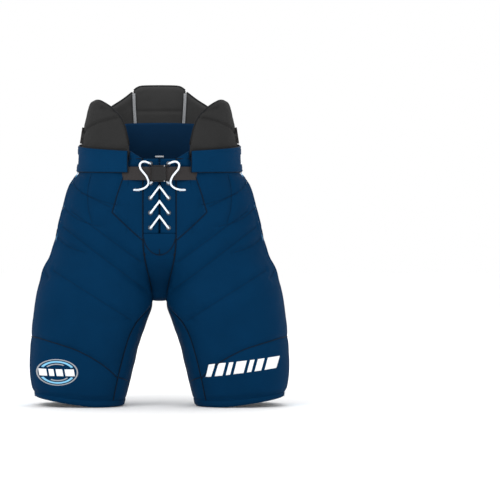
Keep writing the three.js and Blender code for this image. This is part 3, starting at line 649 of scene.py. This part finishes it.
# ---- Crotch gusset ----
def gusset():
    rows = []
    for z in np.linspace(329, 204, 60):
        x, y = read(outer_table, 0.0, z)
        rows.append((x, y, z))
    for y in np.linspace(-46, 44, 30):
        rows.append((13.5, y, 200.0 - 1.2 * math.cos(y / 46 * math.pi / 2)))
    for z in np.linspace(204, 300, 50):
        x, y = read(outer_table, 1.0, z)
        rows.append((max(x, 2.0), y, z))
    rows = np.array(rows)
    for _ in range(6):
        rows[1:-1] = (rows[:-2] + 2 * rows[1:-1] + rows[2:]) / 4
    tangent = np.gradient(rows[:, 1:], axis=0)
    tangent /= np.linalg.norm(tangent, axis=1, keepdims=True)
    out = np.stack([np.zeros(len(rows)), tangent[:, 1], -tangent[:, 0]], -1)
    if out[0, 1] > 0:
        out = -out
    across = np.linspace(-1, 1, 21)
    along = walked(rows[:, 1:])
    mid = np.stack([rows[:, None, 0] * across[None, :],
                    np.repeat(rows[:, 1:2], 21, 1), np.repeat(rows[:, 2:3], 21, 1)], -1)
    crown = (1 - np.abs(across) ** 3)[None, :, None] * 1.5 - 0.6
    front_yoke = dip(along - 42, 3.0)[:, None, None]
    outer = mid + out[:, None, :] * (crown - front_yoke)
    inner = mid - out[:, None, :] * 4.0
    uv = np.stack([mid[..., 0], np.repeat(along[:, None], 21, 1)], -1)
    obj = slab("crotch_gusset_cloth", outer[:, ::-1], inner[:, ::-1], [nylon, lining], uv=uv[:, ::-1],
               inner_slot=1)
    edges = [(rows - 2.7 * out) * (side, 1, 1) for side in (1, -1)]
    return obj, edges


def gusset_seam():
    """The yoke seam, a U across the gusset below the fly, and the short seam at its middle."""
    bend_line = smooth_path([(-29.5, 319), (-25, 306), (-14, 293.5), (0, 288.5), (14, 293.5), (25, 306),
                             (29.5, 319)], 60)
    middle = np.stack([np.zeros(8), np.linspace(289, 300, 8)], -1)
    lines = []
    for line in (bend_line, middle):
        x, z = line[:, 0], line[:, 1]
        y = read(outer_table, 0.0, z)[:, 1]
        lines.append(np.stack([x, y - 1.1 * (1 - np.abs(x / 31) ** 3) + 0.4, z], -1))
    return lines


piece, edges = gusset()
attach(piece, "navy_nylon", "crotch_gusset")


# ---- Pads above the belt ----
def right_across(s, z):
    """Points and normals on both sides. s is the share from the middle of the back, below 0 on the left."""
    p, n = surface(outer_table, 1 - np.abs(s), z)
    flip = np.where(s < 0, 1.0, -1.0)[..., None] * np.array([1, 0, 0]) + np.array([0, 1, 1])
    return p * flip, n * flip


def widths(p):
    """Distance along each row of a grid of points."""
    gaps = np.linalg.norm(np.diff(p, axis=1), axis=2)
    return np.concatenate([np.zeros((len(p), 1)), np.cumsum(gaps, 1)], 1)


def inside(u, u0, u1, z, z0, z1):
    """Distance to the nearest of four edges."""
    return np.minimum(np.minimum(u - u0, u1 - u), np.minimum(z - z0, z1 - z))


def rounded(edge, radius):
    """0 at an edge and 1 from the radius inwards, as a quarter circle."""
    return np.sqrt(np.clip(1 - (1 - np.clip(edge / radius, 0, 1)) ** 2, 0, 1))


PAD_FOOT, PAD_THICK, PAD_PUFF = 471.5, 13.0, 2.2


def pad(name, first, last, top, cols, rows, quilts, both=False):
    """A stuffed pad between two edges, as functions of height. both makes it cross the middle of the back."""
    f, t = np.meshgrid(np.linspace(0, 1, cols), np.linspace(0, 1, rows))
    z = PAD_FOOT * (1 - t) + top(first(540.0)) * t
    for _ in range(3):
        s = first(z) * (1 - f) + last(z) * f
        a = 1 - np.abs(s) if both else s
        z = PAD_FOOT * (1 - t) + top(a) * t
    p, n = right_across(s, z) if both else surface(outer_table, a, z)
    u = widths(p)
    edge = inside(u, 0, u[:, -1:], z, PAD_FOOT - 4, top(a))
    body = rounded(edge, 8.5)
    crease = np.zeros_like(z)
    for line in quilts:
        crease = np.maximum(crease, line(u, z))
    flat = p.reshape(-1, 3)
    wrinkle = ripple(flat, 0.05, 40).reshape(z.shape) * 0.8 + ripple(flat, 0.12, 50).reshape(z.shape) * 0.4
    crown = PAD_PUFF * (1 - np.exp(-np.clip(edge, 0, None) / 16)) + wrinkle * body
    middle = PAD_THICK / 2
    outer = p - n * (middle - body * (middle + crown - 4.2 * crease))[..., None]
    inner = p - n * (middle + body * (middle + 0.6 * crown - 3.0 * crease))[..., None]
    # The inner faces take the lighter grey, painted light against the shade that falls on them.
    return slab(name, outer, inner, [pad_cloth, pad_inner_painted_light], uv=np.stack([u, z], -1), inner_slot=1)


def slanted(u0, z0, u1, z1, width=3.0):
    """A quilting line between two points of a pad: 1 along it, falling to 0 beside it."""
    def line(u, z):
        d = np.array([u1 - u0, z1 - z0])
        length = np.hypot(*d)
        along = ((u - u0) * d[0] + (z - z0) * d[1]) / length
        across = ((u - u0) * -d[1] + (z - z0) * d[0]) / length
        past = np.maximum(0, np.maximum(-along, along - length))
        return np.exp(-(across ** 2 + past ** 2) / width ** 2)
    return line


def fixed(share):
    return lambda z: share + 0 * np.asarray(z, float)


hip = pad("hip", fixed(0.071), fixed(0.772), hip_pad_top, 150, 56, [
    slanted(52, 552, 118, 530), slanted(118, 530, 182, 503), slanted(182, 564, 232, 512),
    slanted(24, 545, 66, 556), slanted(66, 556, 110, 566)])
both_sides(hip, "hip_pad_cloth", ["hip_pad"], "waist")
kidney = pad("kidney", fixed(0.776), lambda z: spine_seam(z) - 0.0015, kidney_top, 40, 60, [])
both_sides(kidney, "kidney_pad_cloth", ["kidney_pad"], "waist")
spine = pad("spine_pad_cloth", lambda z: spine_seam(z) - 0.9985, lambda z: 0.9985 - spine_seam(z), spine_top,
            70, 70, [lambda u, z: 0.5 * dip(z - 560, 3.2)], both=True)
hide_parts("spine_pad")
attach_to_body(spine, "waist")


def tube(path, radius, sides=8):
    """The points and faces of a closed tube along points, in millimetres."""
    p = np.asarray(path, float)
    tangent = np.gradient(p, axis=0)
    tangent /= np.linalg.norm(tangent, axis=1, keepdims=True)
    up = np.array([0.0, 0.0, 1.0]) if abs(tangent[0][2]) < 0.9 else np.array([1.0, 0.0, 0.0])
    side = np.cross(tangent[0], up)
    angle = np.linspace(0, 2 * math.pi, sides, endpoint=False)[:, None]
    rings = []
    for centre, t, r in zip(p, tangent, np.broadcast_to(radius, len(p))):
        side = side - t * np.dot(side, t)
        side /= np.linalg.norm(side)
        rings.append(centre + r * (np.cos(angle) * side + np.sin(angle) * np.cross(t, side)))
    faces = [tuple(f) for f in grid_faces(len(p), sides, closed=True)]
    faces.append(tuple(range(sides - 1, -1, -1)))
    faces.append(tuple(range((len(p) - 1) * sides, len(p) * sides)))
    return np.concatenate(rings), faces


def joined(name, parts, stuff):
    """One object from several pairs of points and faces."""
    points, faces, offset = [], [], 0
    for p, f in parts:
        points.append(p)
        faces += [tuple(int(i) + offset for i in face) for face in f]
        offset += len(p)
    return build(name, np.concatenate(points), faces, stuff)


def tubes(name, paths, radius, stuff, sides=8):
    return joined(name, [tube(path, radius, sides) for path in paths], stuff)


# Binding rolled over the pads' top edges, and the twin piping on both faces of the spine pad.
def edge_path(a0, a1, top, count):
    """The middle of the pads' top edge between two shares."""
    a = np.linspace(a0, a1, count)
    p, n = surface(outer_table, a, top(a) - 1.0)
    return p - n * PAD_THICK / 2


def upright(share, deep, top=595.0):
    """A line up the pads' seam at a share of the girth, a function of height."""
    z = np.linspace(480, top, 40)
    p, n = surface(outer_table, share(z), z)
    return p - n * deep


def beside_spine(shift, deep):
    """A line up the seam between the kidney and spine pads, a little to one side of it."""
    return upright(lambda z: spine_seam(z) + shift, deep)


top_edges = [edge_path(0.074, 0.769, hip_pad_top, 120), edge_path(0.779, 0.878, kidney_top, 30)]
binding = tubes("binding", top_edges, 2.4, black_binding, 10)
both_sides(binding, "pad_binding", [], "waist")
top_edge = edge_path(0.886, 1.0, spine_top, 40)
top_edge = np.concatenate([top_edge, top_edge[::-1][1:] * [-1, 1, 1]])
attach(tubes("spine_binding", [top_edge], 2.6, black_binding, 10), "pad_cloth")
piping = [beside_spine(shift, deep) for shift in (-0.003, 0.003) for deep in (0.4, 13.4)]
both_sides(tubes("piping", piping, 1.8, piping_grey, 10), "spine_piping", [], "waist")
both_sides(tubes("join", [beside_spine(0, 6.5)], 4.6, pad_cloth, 14), "spine_join", [], "waist")
join = tubes("join", [upright(fixed(0.774), 6.5, 565.0)], 4.6, pad_cloth, 14)
both_sides(join, "kidney_join", [], "waist")

# ---- Lining at the back of the waist ----
s, t = np.meshgrid(np.linspace(-0.38, 0.38, 90), np.linspace(0, 1, 60))
z = 300 + (538 - 60 * s ** 2 - 300) * t
p, n = right_across(s, z)
wave = ripple(p.reshape(-1, 3), 0.03, 70).reshape(z.shape)
back_lining = slab("waist_lining_cloth", p - n * (14.6 + 0.4 * wave)[..., None],
                   p - n * (17.0 + 0.6 * wave)[..., None], navy_lining, uv=np.stack([widths(p), z], -1))
attach(back_lining, "navy_nylon", "waist_lining", "tailbone_guard")

# ---- Belt casing ----
CASING_END = 0.929       # its share from the middle of the back, on either side
s, t = np.meshgrid(np.linspace(-CASING_END, CASING_END, 400), np.linspace(0, 1, 30))
a = 1 - np.abs(s)
top = casing_top(a)
z = CASING_FOOT * (1 - t) + top * t
p, n = right_across(s, z)
n[..., 2] *= 0.3
u = widths(p)
body = rounded(inside(u, 0, u[:, -1:], z, CASING_FOOT, top), 4.0)
sewn = 0.9 * dip(z - 448.5, 1.2) + 0.9 * dip(top - z - 5, 1.2)
wave = ripple(p.reshape(-1, 3), 0.04, 90).reshape(z.shape)
middle = 1.6 + 4.0 * t + casing_lift(a)
casing_out = middle + body * (3.3 - sewn + 0.4 * wave)
belt = slab("belt_casing_cloth", p + n * casing_out[..., None], p + n * (middle - 1.1 * body)[..., None],
            belt_cloth, uv=np.stack([z, u], -1))
attach(belt, "belt_nylon", "belt_casing")


# ---- Fly: lacing flaps, tongue, eyelets and lace ----
def fly_y(z):
    """How far forward the shell's front edges stand at a height."""
    return read(outer_table, 0.0, z)[..., 1]


def fly_flap():
    x, z = np.meshgrid(np.linspace(1.7, 31.0, 20), np.linspace(329.5, 469.5, 70))
    y = fly_y(z)
    edge = inside(x, 1.7, 31.0, z, 329.5, 469.5)
    body = rounded(edge, 2.5)
    sewn = 0.5 * dip(edge - 5, 0.9)
    flat = np.stack([x, y, z], -1).reshape(-1, 3)
    wave = ripple(flat, 0.07, 120).reshape(x.shape) * 0.35
    outer = np.stack([x, y + 2 - body * (2.5 - sewn + wave), z], -1)
    inner = np.stack([x, y + 2 + body * 2.0, z], -1)
    return slab("flap", outer, inner, nylon, uv=np.stack([x, z], -1))


both_sides(fly_flap(), "fly_flap_cloth", ["fly_flap"], "waist")
x, z = np.meshgrid(np.linspace(-27, 27, 24), np.linspace(333, 463, 60))
body = rounded(inside(x, -27, 27, z, 333, 463), 3)
y = fly_y(z) + 10.5
tongue = slab("fly_tongue_cloth", np.stack([x, y - 1.6 * body, z], -1), np.stack([x, y + 1.8 * body, z], -1),
              navy_lining, uv=np.stack([x, z], -1))
attach(tongue, "navy_nylon", "fly_tongue")

EYELET_X, EYELET_ZS = 17, (340, 368, 396, 424, 460)


def grommet(x, y, z):
    """A rolled metal eyelet, its bore along Y."""
    outline = [(2.7, 3.4), (2.65, 0.2), (2.9, -0.75), (3.5, -1.15), (4.2, -0.95), (4.6, -0.3), (4.5, 0.4),
               (3.4, 0.6), (3.2, 3.4)]
    angle = np.linspace(0, 2 * math.pi, 28, endpoint=False)
    pts = np.array([[(x + r * math.cos(t), y + d, z + r * math.sin(t)) for t in angle] for r, d in outline])
    faces = [tuple(f) for f in grid_faces(len(outline), 28, closed=True)]
    k = np.arange(28)
    end = (len(outline) - 1) * 28
    faces += [tuple(f) for f in np.stack([(k + 1) % 28, k, end + k, end + (k + 1) % 28], -1)]
    return pts.reshape(-1, 3), faces


eyelets = joined("eyelets", [grommet(EYELET_X, float(fly_y(z)) - 0.5, z) for z in EYELET_ZS], eyelet_metal)
both_sides(eyelets, "eyelets", [f"eyelet_{i}" for i in range(1, 6)], "waist")

LACE_R = 1.85
# The laced part: from each eyelet up and across to the middle, where it passes behind the next crossing.
paths = []
for sign in (-1, 1):
    for z in EYELET_ZS[:-1]:
        x = sign * EYELET_X
        y, ya = float(fly_y(z)), float(fly_y(z + 21.0))
        paths.append([
            (x, y + 5, z - 0.6), (x, y + 1.5, z - 0.4), (x - sign * 0.4, y - 2.2, z),
            (x - sign * 4, y - 3.2, z + 4.4), (x / 2, y - 3.0, z + 10.6), (sign * 3.2, ya - 3.1, z + 17.6),
            (sign * 0.9, ya - 2.2, z + 20.6), (sign * 0.4, ya + 1.5, z + 22.0),
            (sign * 0.6, ya + 6.2, z + 22.8)])

lace = tubes("lace_cords", [smooth_path(p, 34) for p in paths], LACE_R, lace_cloth, 12)
attach(lace, "lace_cord", "lace")

# The lace's two loose ends: out of the top eyelet, over the belt and back across the fly.
TAIL = [(18.2, -141.6, 460.6), (22, -142.8, 462.4), (27, -143.6, 464), (32, -144, 463.6), (36, -144.6, 460.6),
        (37, -146, 456.2), (35, -147.8, 450), (30, -148.8, 443.6), (25, -149.4, 437.4), (21.8, -149, 431),
        (20.6, -145.4, 425), (22.2, -141.6, 420), (26.6, -140.4, 415.6), (33, -139.8, 412.6),
        (41, -139.4, 411.2), (48, -139, 411)]
for side, sign in (("left", 1), ("right", -1)):
    points = np.array(TAIL) * [sign, 1, 1]
    path = smooth_path(points, 40)
    tail = tubes(side + "_lace_end", [path], LACE_R, lace_cloth, 12)
    attach(tail, "lace_cord", side + "_lace_tail")
    tip = path[-1] - path[-2]
    tip /= np.linalg.norm(tip)
    # The plastic tip starts 11 mm back from the cord's end and closes over it.
    steps = np.array([0, 0.3, 6, 11, 11.8, 12.2])
    shape = path[-1] - tip * 11 + tip * steps[:, None]
    aglet = tubes(side + "_aglet", [shape], np.array([1.7, 2.15, 2.1, 2.05, 1.7, 1.1]), aglet_stuff, 14)
    attach(aglet, "lace_cord")
# A short lead of lace from behind the flap through the top eyelet.
y = float(fly_y(460.0))
lead = np.array([(17, y + 6, 459.4), (17, y + 1.5, 459.6), (17.1, y - 2.5, 460.0), (17.5, -139.4, 460.3),
                 TAIL[0]])
leads = [smooth_path(lead * [sign, 1, 1], 16) for sign in (-1, 1)]
attach(tubes("lace_leads", leads, LACE_R, lace_cloth, 12), "lace_cord")


# ---- CAD nodes that keep their shape ----
def finish_node(name, stuff, bevel=0.0):
    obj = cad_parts[name]
    obj.data.materials.clear()
    obj.data.materials.append(stuff)
    if bevel:
        m = obj.modifiers.new("soft edges", "BEVEL")
        m.width = bevel * MM
        m.segments = 3
        m.limit_method = "ANGLE"
        m.angle_limit = math.radians(35)


finish_node("belt_webbing", webbing_cloth, 0.35)
finish_node("buckle_frame", buckle_plastic, 0.6)
finish_node("buckle_lever", buckle_plastic, 0.6)
finish_node("buckle_pin", pin_metal, 0.3)
for side in ("left", "right"):
    finish_node(side + "_suspender_loop", webbing_cloth, 0.9)


# ---- Stitching ----
STITCH_RADIUS = 0.32


def stitches(name, lines, stuff, offset=0.0, dash=3.2, gap=1.6):
    """Short raised stitches beside lines (share, z) on the shell."""
    points, faces = [], []
    count = 0
    for line in lines:
        a, z = np.array(line).T
        p, n = surface(outer_table, a, z)
        h = shell_height(a, z, p)
        f = border(flat_length("outer", a, z) if a.min() < 0.3 else None, None, z, HEM_TOP, SHELL_TOP)
        tangent = np.gradient(p, axis=0)
        tangent /= np.linalg.norm(tangent, axis=1, keepdims=True)
        aside = np.cross(n, tangent)
        q = p + aside * offset
        q = q + n * (h * f + 0.05)[:, None]
        length = walked(q)
        at = 0.0
        while at + dash < length[-1]:
            ends = np.array([[np.interp(v, length, q[:, c]) for c in range(3)] for v in (at, at + dash)])
            way = ends[1] - ends[0]
            way /= np.linalg.norm(way) + 1e-9
            m = np.array([np.interp(at, length, n[:, c]) for c in range(3)])
            b = np.cross(way, m)
            for end, lift in ((0, 0), (0.5, 0.35), (1, 0)):
                base = ends[0] * (1 - end) + ends[1] * end + m * (lift - 0.1)
                for k in range(4):
                    t = k * math.pi / 2 + math.pi / 4
                    points.append(base + STITCH_RADIUS * (math.cos(t) * b + math.sin(t) * m))
            walls = grid_faces(3, 4, count, closed=True).tolist()
            faces += walls + [(count + 3, count + 2, count + 1, count), tuple(range(count + 8, count + 12))]
            count += 12
            at += dash + gap
    return build(name, points, faces, stuff)


double_sewn = [SEAMS[k] for k in ("abdomen", "lower", "seat", "rear_lower")]
sewn = stitches("stitches", double_sewn, thread, offset=3.4)
both_sides(sewn, "stitching", [], "bend")
quilted = stitches("quilting", [SEAMS["front_dart"], *CHANNELS.values()], quilt_thread, dash=3.6, gap=0.9)
both_sides(quilted, "quilting", [], "bend")


# ---- Welts: fine dark cord sewn into the seams ----
def on_outer(line, lift, first=True):
    """Points on the padded shell along (share, z). first is for lines that may start at the fly."""
    a, z = np.array(line, float).T
    p, n = surface(outer_table, a, z)
    f = border(flat_length("outer", a, z) if first else None, None, z, HEM_TOP, SHELL_TOP)
    return p + n * (shell_height(a, z, p) * f + lift)[:, None]


runs = [on_outer(SEAMS[k], 0.15) for k in ("abdomen", "lower", "seat", "rear_lower", "rear_branch")]
runs.append(on_outer([(0.0008, z) for z in np.arange(205.0, 470, 3)], 0.2))
runs.append(on_outer([(0.9992, z) for z in np.arange(205.0, 470, 3)], 0.2, first=False))
runs.append(on_outer([(a, 469.5) for a in np.linspace(0.0, 0.075, 24)], 0.4))
for end in (0.004, 0.996):
    z = np.linspace(HEM_TOP, 199, 70)
    p, n = surface(inner_table, np.full(70, end), z)
    runs.append(p + n * 0.3)
z = np.linspace(57, 42, 12)
p, n = surface(inner_table, np.linspace(0.99, 0.6, 12), z)
runs.append(p + n * 2.0)
welts = tubes("welts", [evenly(r) for r in runs], 0.8, welt_cloth, 7)
both_sides(welts, "welts", [], "bend")

attach(tubes("gusset_tape", [evenly(edge) for edge in edges], 2.5, lining, 8), "liner_cloth")
p, n = surface(inner_table, np.linspace(0.01, 0.99, 80), np.full(80, 199.3))
crotch = tubes("crotch_seam", [evenly(p - n * 0.8)], 1.8, nylon, 8)
both_sides(crotch, "crotch_seam", [], "bend")
attach(tubes("yoke_seam", gusset_seam(), 0.8, welt_cloth, 7), "navy_nylon")

# The casing's edges are bound in the same way.
s = np.linspace(-CASING_END, CASING_END, 260)
a = 1 - np.abs(s)
runs = []
for z, out in ((casing_top(a) - 0.4, 6.0), (np.full(260, CASING_FOOT + 0.4), 2.4)):
    p, n = right_across(s, z)
    n[:, 2] *= 0.3
    runs.append(p + n * (out + casing_lift(a))[:, None])
ends = [np.linspace(runs[0][k], runs[1][k], 14) for k in (0, -1)]
attach(tubes("casing_welts", [evenly(r) for r in runs + ends], 0.8, welt_cloth, 7), "belt_nylon")

# ---- Printed marks: plain bars and an oval, on the thighs and the belt ----
OVAL = (191, 66, 38, 25)     # middle and half-sizes of the oval badge on the right thigh
BADGE_LIFT = float(surface(outer_table, np.array([share_at_x(191, 66)]), np.array([66.0]))[0][0, 2]) - 66


def shares_at_x(x, z):
    return np.array([share_at_x(abs(px), pz) for px, pz in zip(x, z)])


def on_shell(x, z, sign, lift):
    """Points of a left or right print on the front. The right one stays level where the shell rises."""
    if sign < 0:
        level = np.array(z, float)
        for _ in range(2):
            z = z + level + BADGE_LIFT - surface(outer_table, shares_at_x(x, z), z)[0][:, 2]
    a = shares_at_x(x, z)
    p, n = surface(outer_table, a, z)
    h = shell_height(a, z, p) * border(flat_length("outer", a, z), None, z, HEM_TOP, SHELL_TOP) - 0.3
    q = p + n * (h + lift)[:, None]
    q[:, 0] *= sign
    return q


def print_patch(name, corners, sign, stuff, lift=0.35, rows=8, cols=8):
    """A four-cornered print: corners run anticlockwise in the front view, in mm."""
    c = np.array(corners, float)
    s, t = np.meshgrid(np.linspace(0, 1, cols), np.linspace(0, 1, rows))
    shares = ((1 - s) * (1 - t), s * (1 - t), s * t, (1 - s) * t)
    x, z = sum(share.reshape(-1, 1) * corner for share, corner in zip(shares, c)).T
    q, below = (on_shell(x, z, sign, up).reshape(rows, cols, 3) for up in (lift, lift - 0.5))
    if sign < 0:
        q, below = q[:, ::-1], below[:, ::-1]
    return slab(name, q, below, stuff)


bars = [(88, 11), (105, 14), (125, 8), (139, 19), (164, 8), (178, 12), (196, 21)]
for i, (x0, wide) in enumerate(bars):
    rise0, rise1 = 0.11 * (x0 - 88), 0.11 * (x0 + wide - 88)
    corners = [(x0, 59 + rise0), (x0 + wide, 59 + rise1), (x0 + wide + 6, 83 + rise1), (x0 + 6, 83 + rise0)]
    bar = print_patch(f"thigh_bar_{i + 1}", corners, 1, print_white, rows=14, cols=10,
                      lift=1.4 if i < 1 else 0.35)
    attach(bar, "navy_nylon", body="left_leg")


def arc(name, inner, outer, start, end, stuff):
    """Part of a flat oval ring; inner and outer are shares of the badge, start and end are degrees."""
    steps, rings = max(12, int((end - start) / 5)), 5
    whole = end - start >= 360
    angle = np.linspace(start, end, steps, endpoint=not whole) * RAD
    r = np.linspace(inner, outer, rings)[:, None]
    x = (OVAL[0] + OVAL[2] * r * np.cos(angle)[None, :]).ravel()
    z = (OVAL[1] + OVAL[3] * r * np.sin(angle)[None, :]).ravel()
    q, below = (on_shell(x, z, -1, lift).reshape(rings, steps, 3) for lift in (0.4, -0.1))
    return slab(name, q, below, stuff, closed=whole)


marks = [arc("badge_rim", 0.93, 1.0, 0, 360, print_grey)]
for i, (inner, outer, start, end, stuff) in enumerate([
        (0.74, 0.86, 28, 152, print_sky), (0.74, 0.86, 208, 332, print_sky),
        (0.58, 0.66, 40, 120, print_grey), (0.58, 0.66, 220, 300, print_grey)]):
    marks.append(arc(f"badge_arc_{i + 1}", inner, outer, start, end, stuff))
for i, (x0, wide) in enumerate([(159, 17), (180, 12), (196, 9), (209, 14)]):
    corners = [(x0, 59), (x0 + wide, 59), (x0 + wide + 2, 72), (x0 + 2, 72)]
    marks.append(print_patch(f"badge_bar_{i + 1}", corners, -1, print_white, lift=0.45, rows=6, cols=6))
for mark in marks:
    attach(mark, "navy_nylon", body="right_leg")


def belt_point(y, z, sign, lift):
    """Points of a print on the side of the belt casing."""
    a = np.array([share_at_y(py, pz) for py, pz in zip(y, z)])
    p, n = surface(outer_table, a, z)
    n[:, 2] *= 0.3
    q = p + n * (5.0 + 4.0 * (z - CASING_FOOT) / (casing_top(a) - CASING_FOOT) + lift)[:, None]
    q[:, 0] *= sign
    return q


for sign, side in ((1, "left"), (-1, "right")):
    for i, (y0, wide) in enumerate([(-46, 22), (-18, 10), (-2, 33), (37, 10), (53, 19), (78, 9)]):
        s, t = np.meshgrid(np.linspace(0, 1, 14), np.linspace(0, 1, 6))
        y, z = (y0 + wide * s + 5 * t).ravel(), (458 + 19 * t).ravel()
        top, below = (belt_point(y, z, sign, lift).reshape(6, 14, 3)[:, ::sign] for lift in (0.5, -0.6))
        attach(slab(f"{side}_belt_bar_{i + 1}", top, below, print_white), "belt_nylon")

# ---- Bar tack at the top of the fly ----
tack_y = float(fly_y(468.0)) - 1.2
attach(tubes("fly_tack", [[(x, tack_y, 473.5) for x in (-8, 0, 8)]], 1.5, piping_grey), "pad_cloth")

# ---- Floor, world and lights ----
floor_mesh = bpy.data.meshes.new("floor")
floor_mesh.from_pydata([(-8, -8, 0), (8, -8, 0), (8, 8, 0), (-8, 8, 0)], [], [(0, 1, 2, 3)])
floor = bpy.data.objects.new("floor", floor_mesh)
bpy.context.scene.collection.objects.link(floor)
white = bpy.data.materials.new("floor")
white.use_nodes = True
surface_node = white.node_tree.nodes["Principled BSDF"]
surface_node.inputs["Base Color"].default_value = (1, 1, 1, 1)
surface_node.inputs["Roughness"].default_value = 1.0
floor_mesh.materials.append(white)
floor.location.z = -0.0005

world = bpy.data.worlds.new("world")
world.use_nodes = True
background = world.node_tree.nodes["Background"]
background.inputs["Color"].default_value = (1, 1, 1, 1)
background.inputs["Strength"].default_value = 1.0
bpy.context.scene.world = world
bpy.context.scene.view_settings.view_transform = "Standard"


def lamp(name, where, aim, size, power):
    data = bpy.data.lights.new(name, "AREA")
    data.size = size
    data.energy = power
    obj = bpy.data.objects.new(name, data)
    bpy.context.scene.collection.objects.link(obj)
    obj.location = where
    obj.rotation_euler = (Vector(aim) - Vector(where)).to_track_quat("-Z", "Y").to_euler()


lamp("key", (-1.6, -2.4, 2.2), (0, 0, 0.3), 1.6, 38)
lamp("fill", (2.2, -2.0, 1.2), (0, 0, 0.3), 2.0, 12)
lamp("back", (0.4, 2.4, 2.0), (0, 0, 0.4), 1.6, 20)
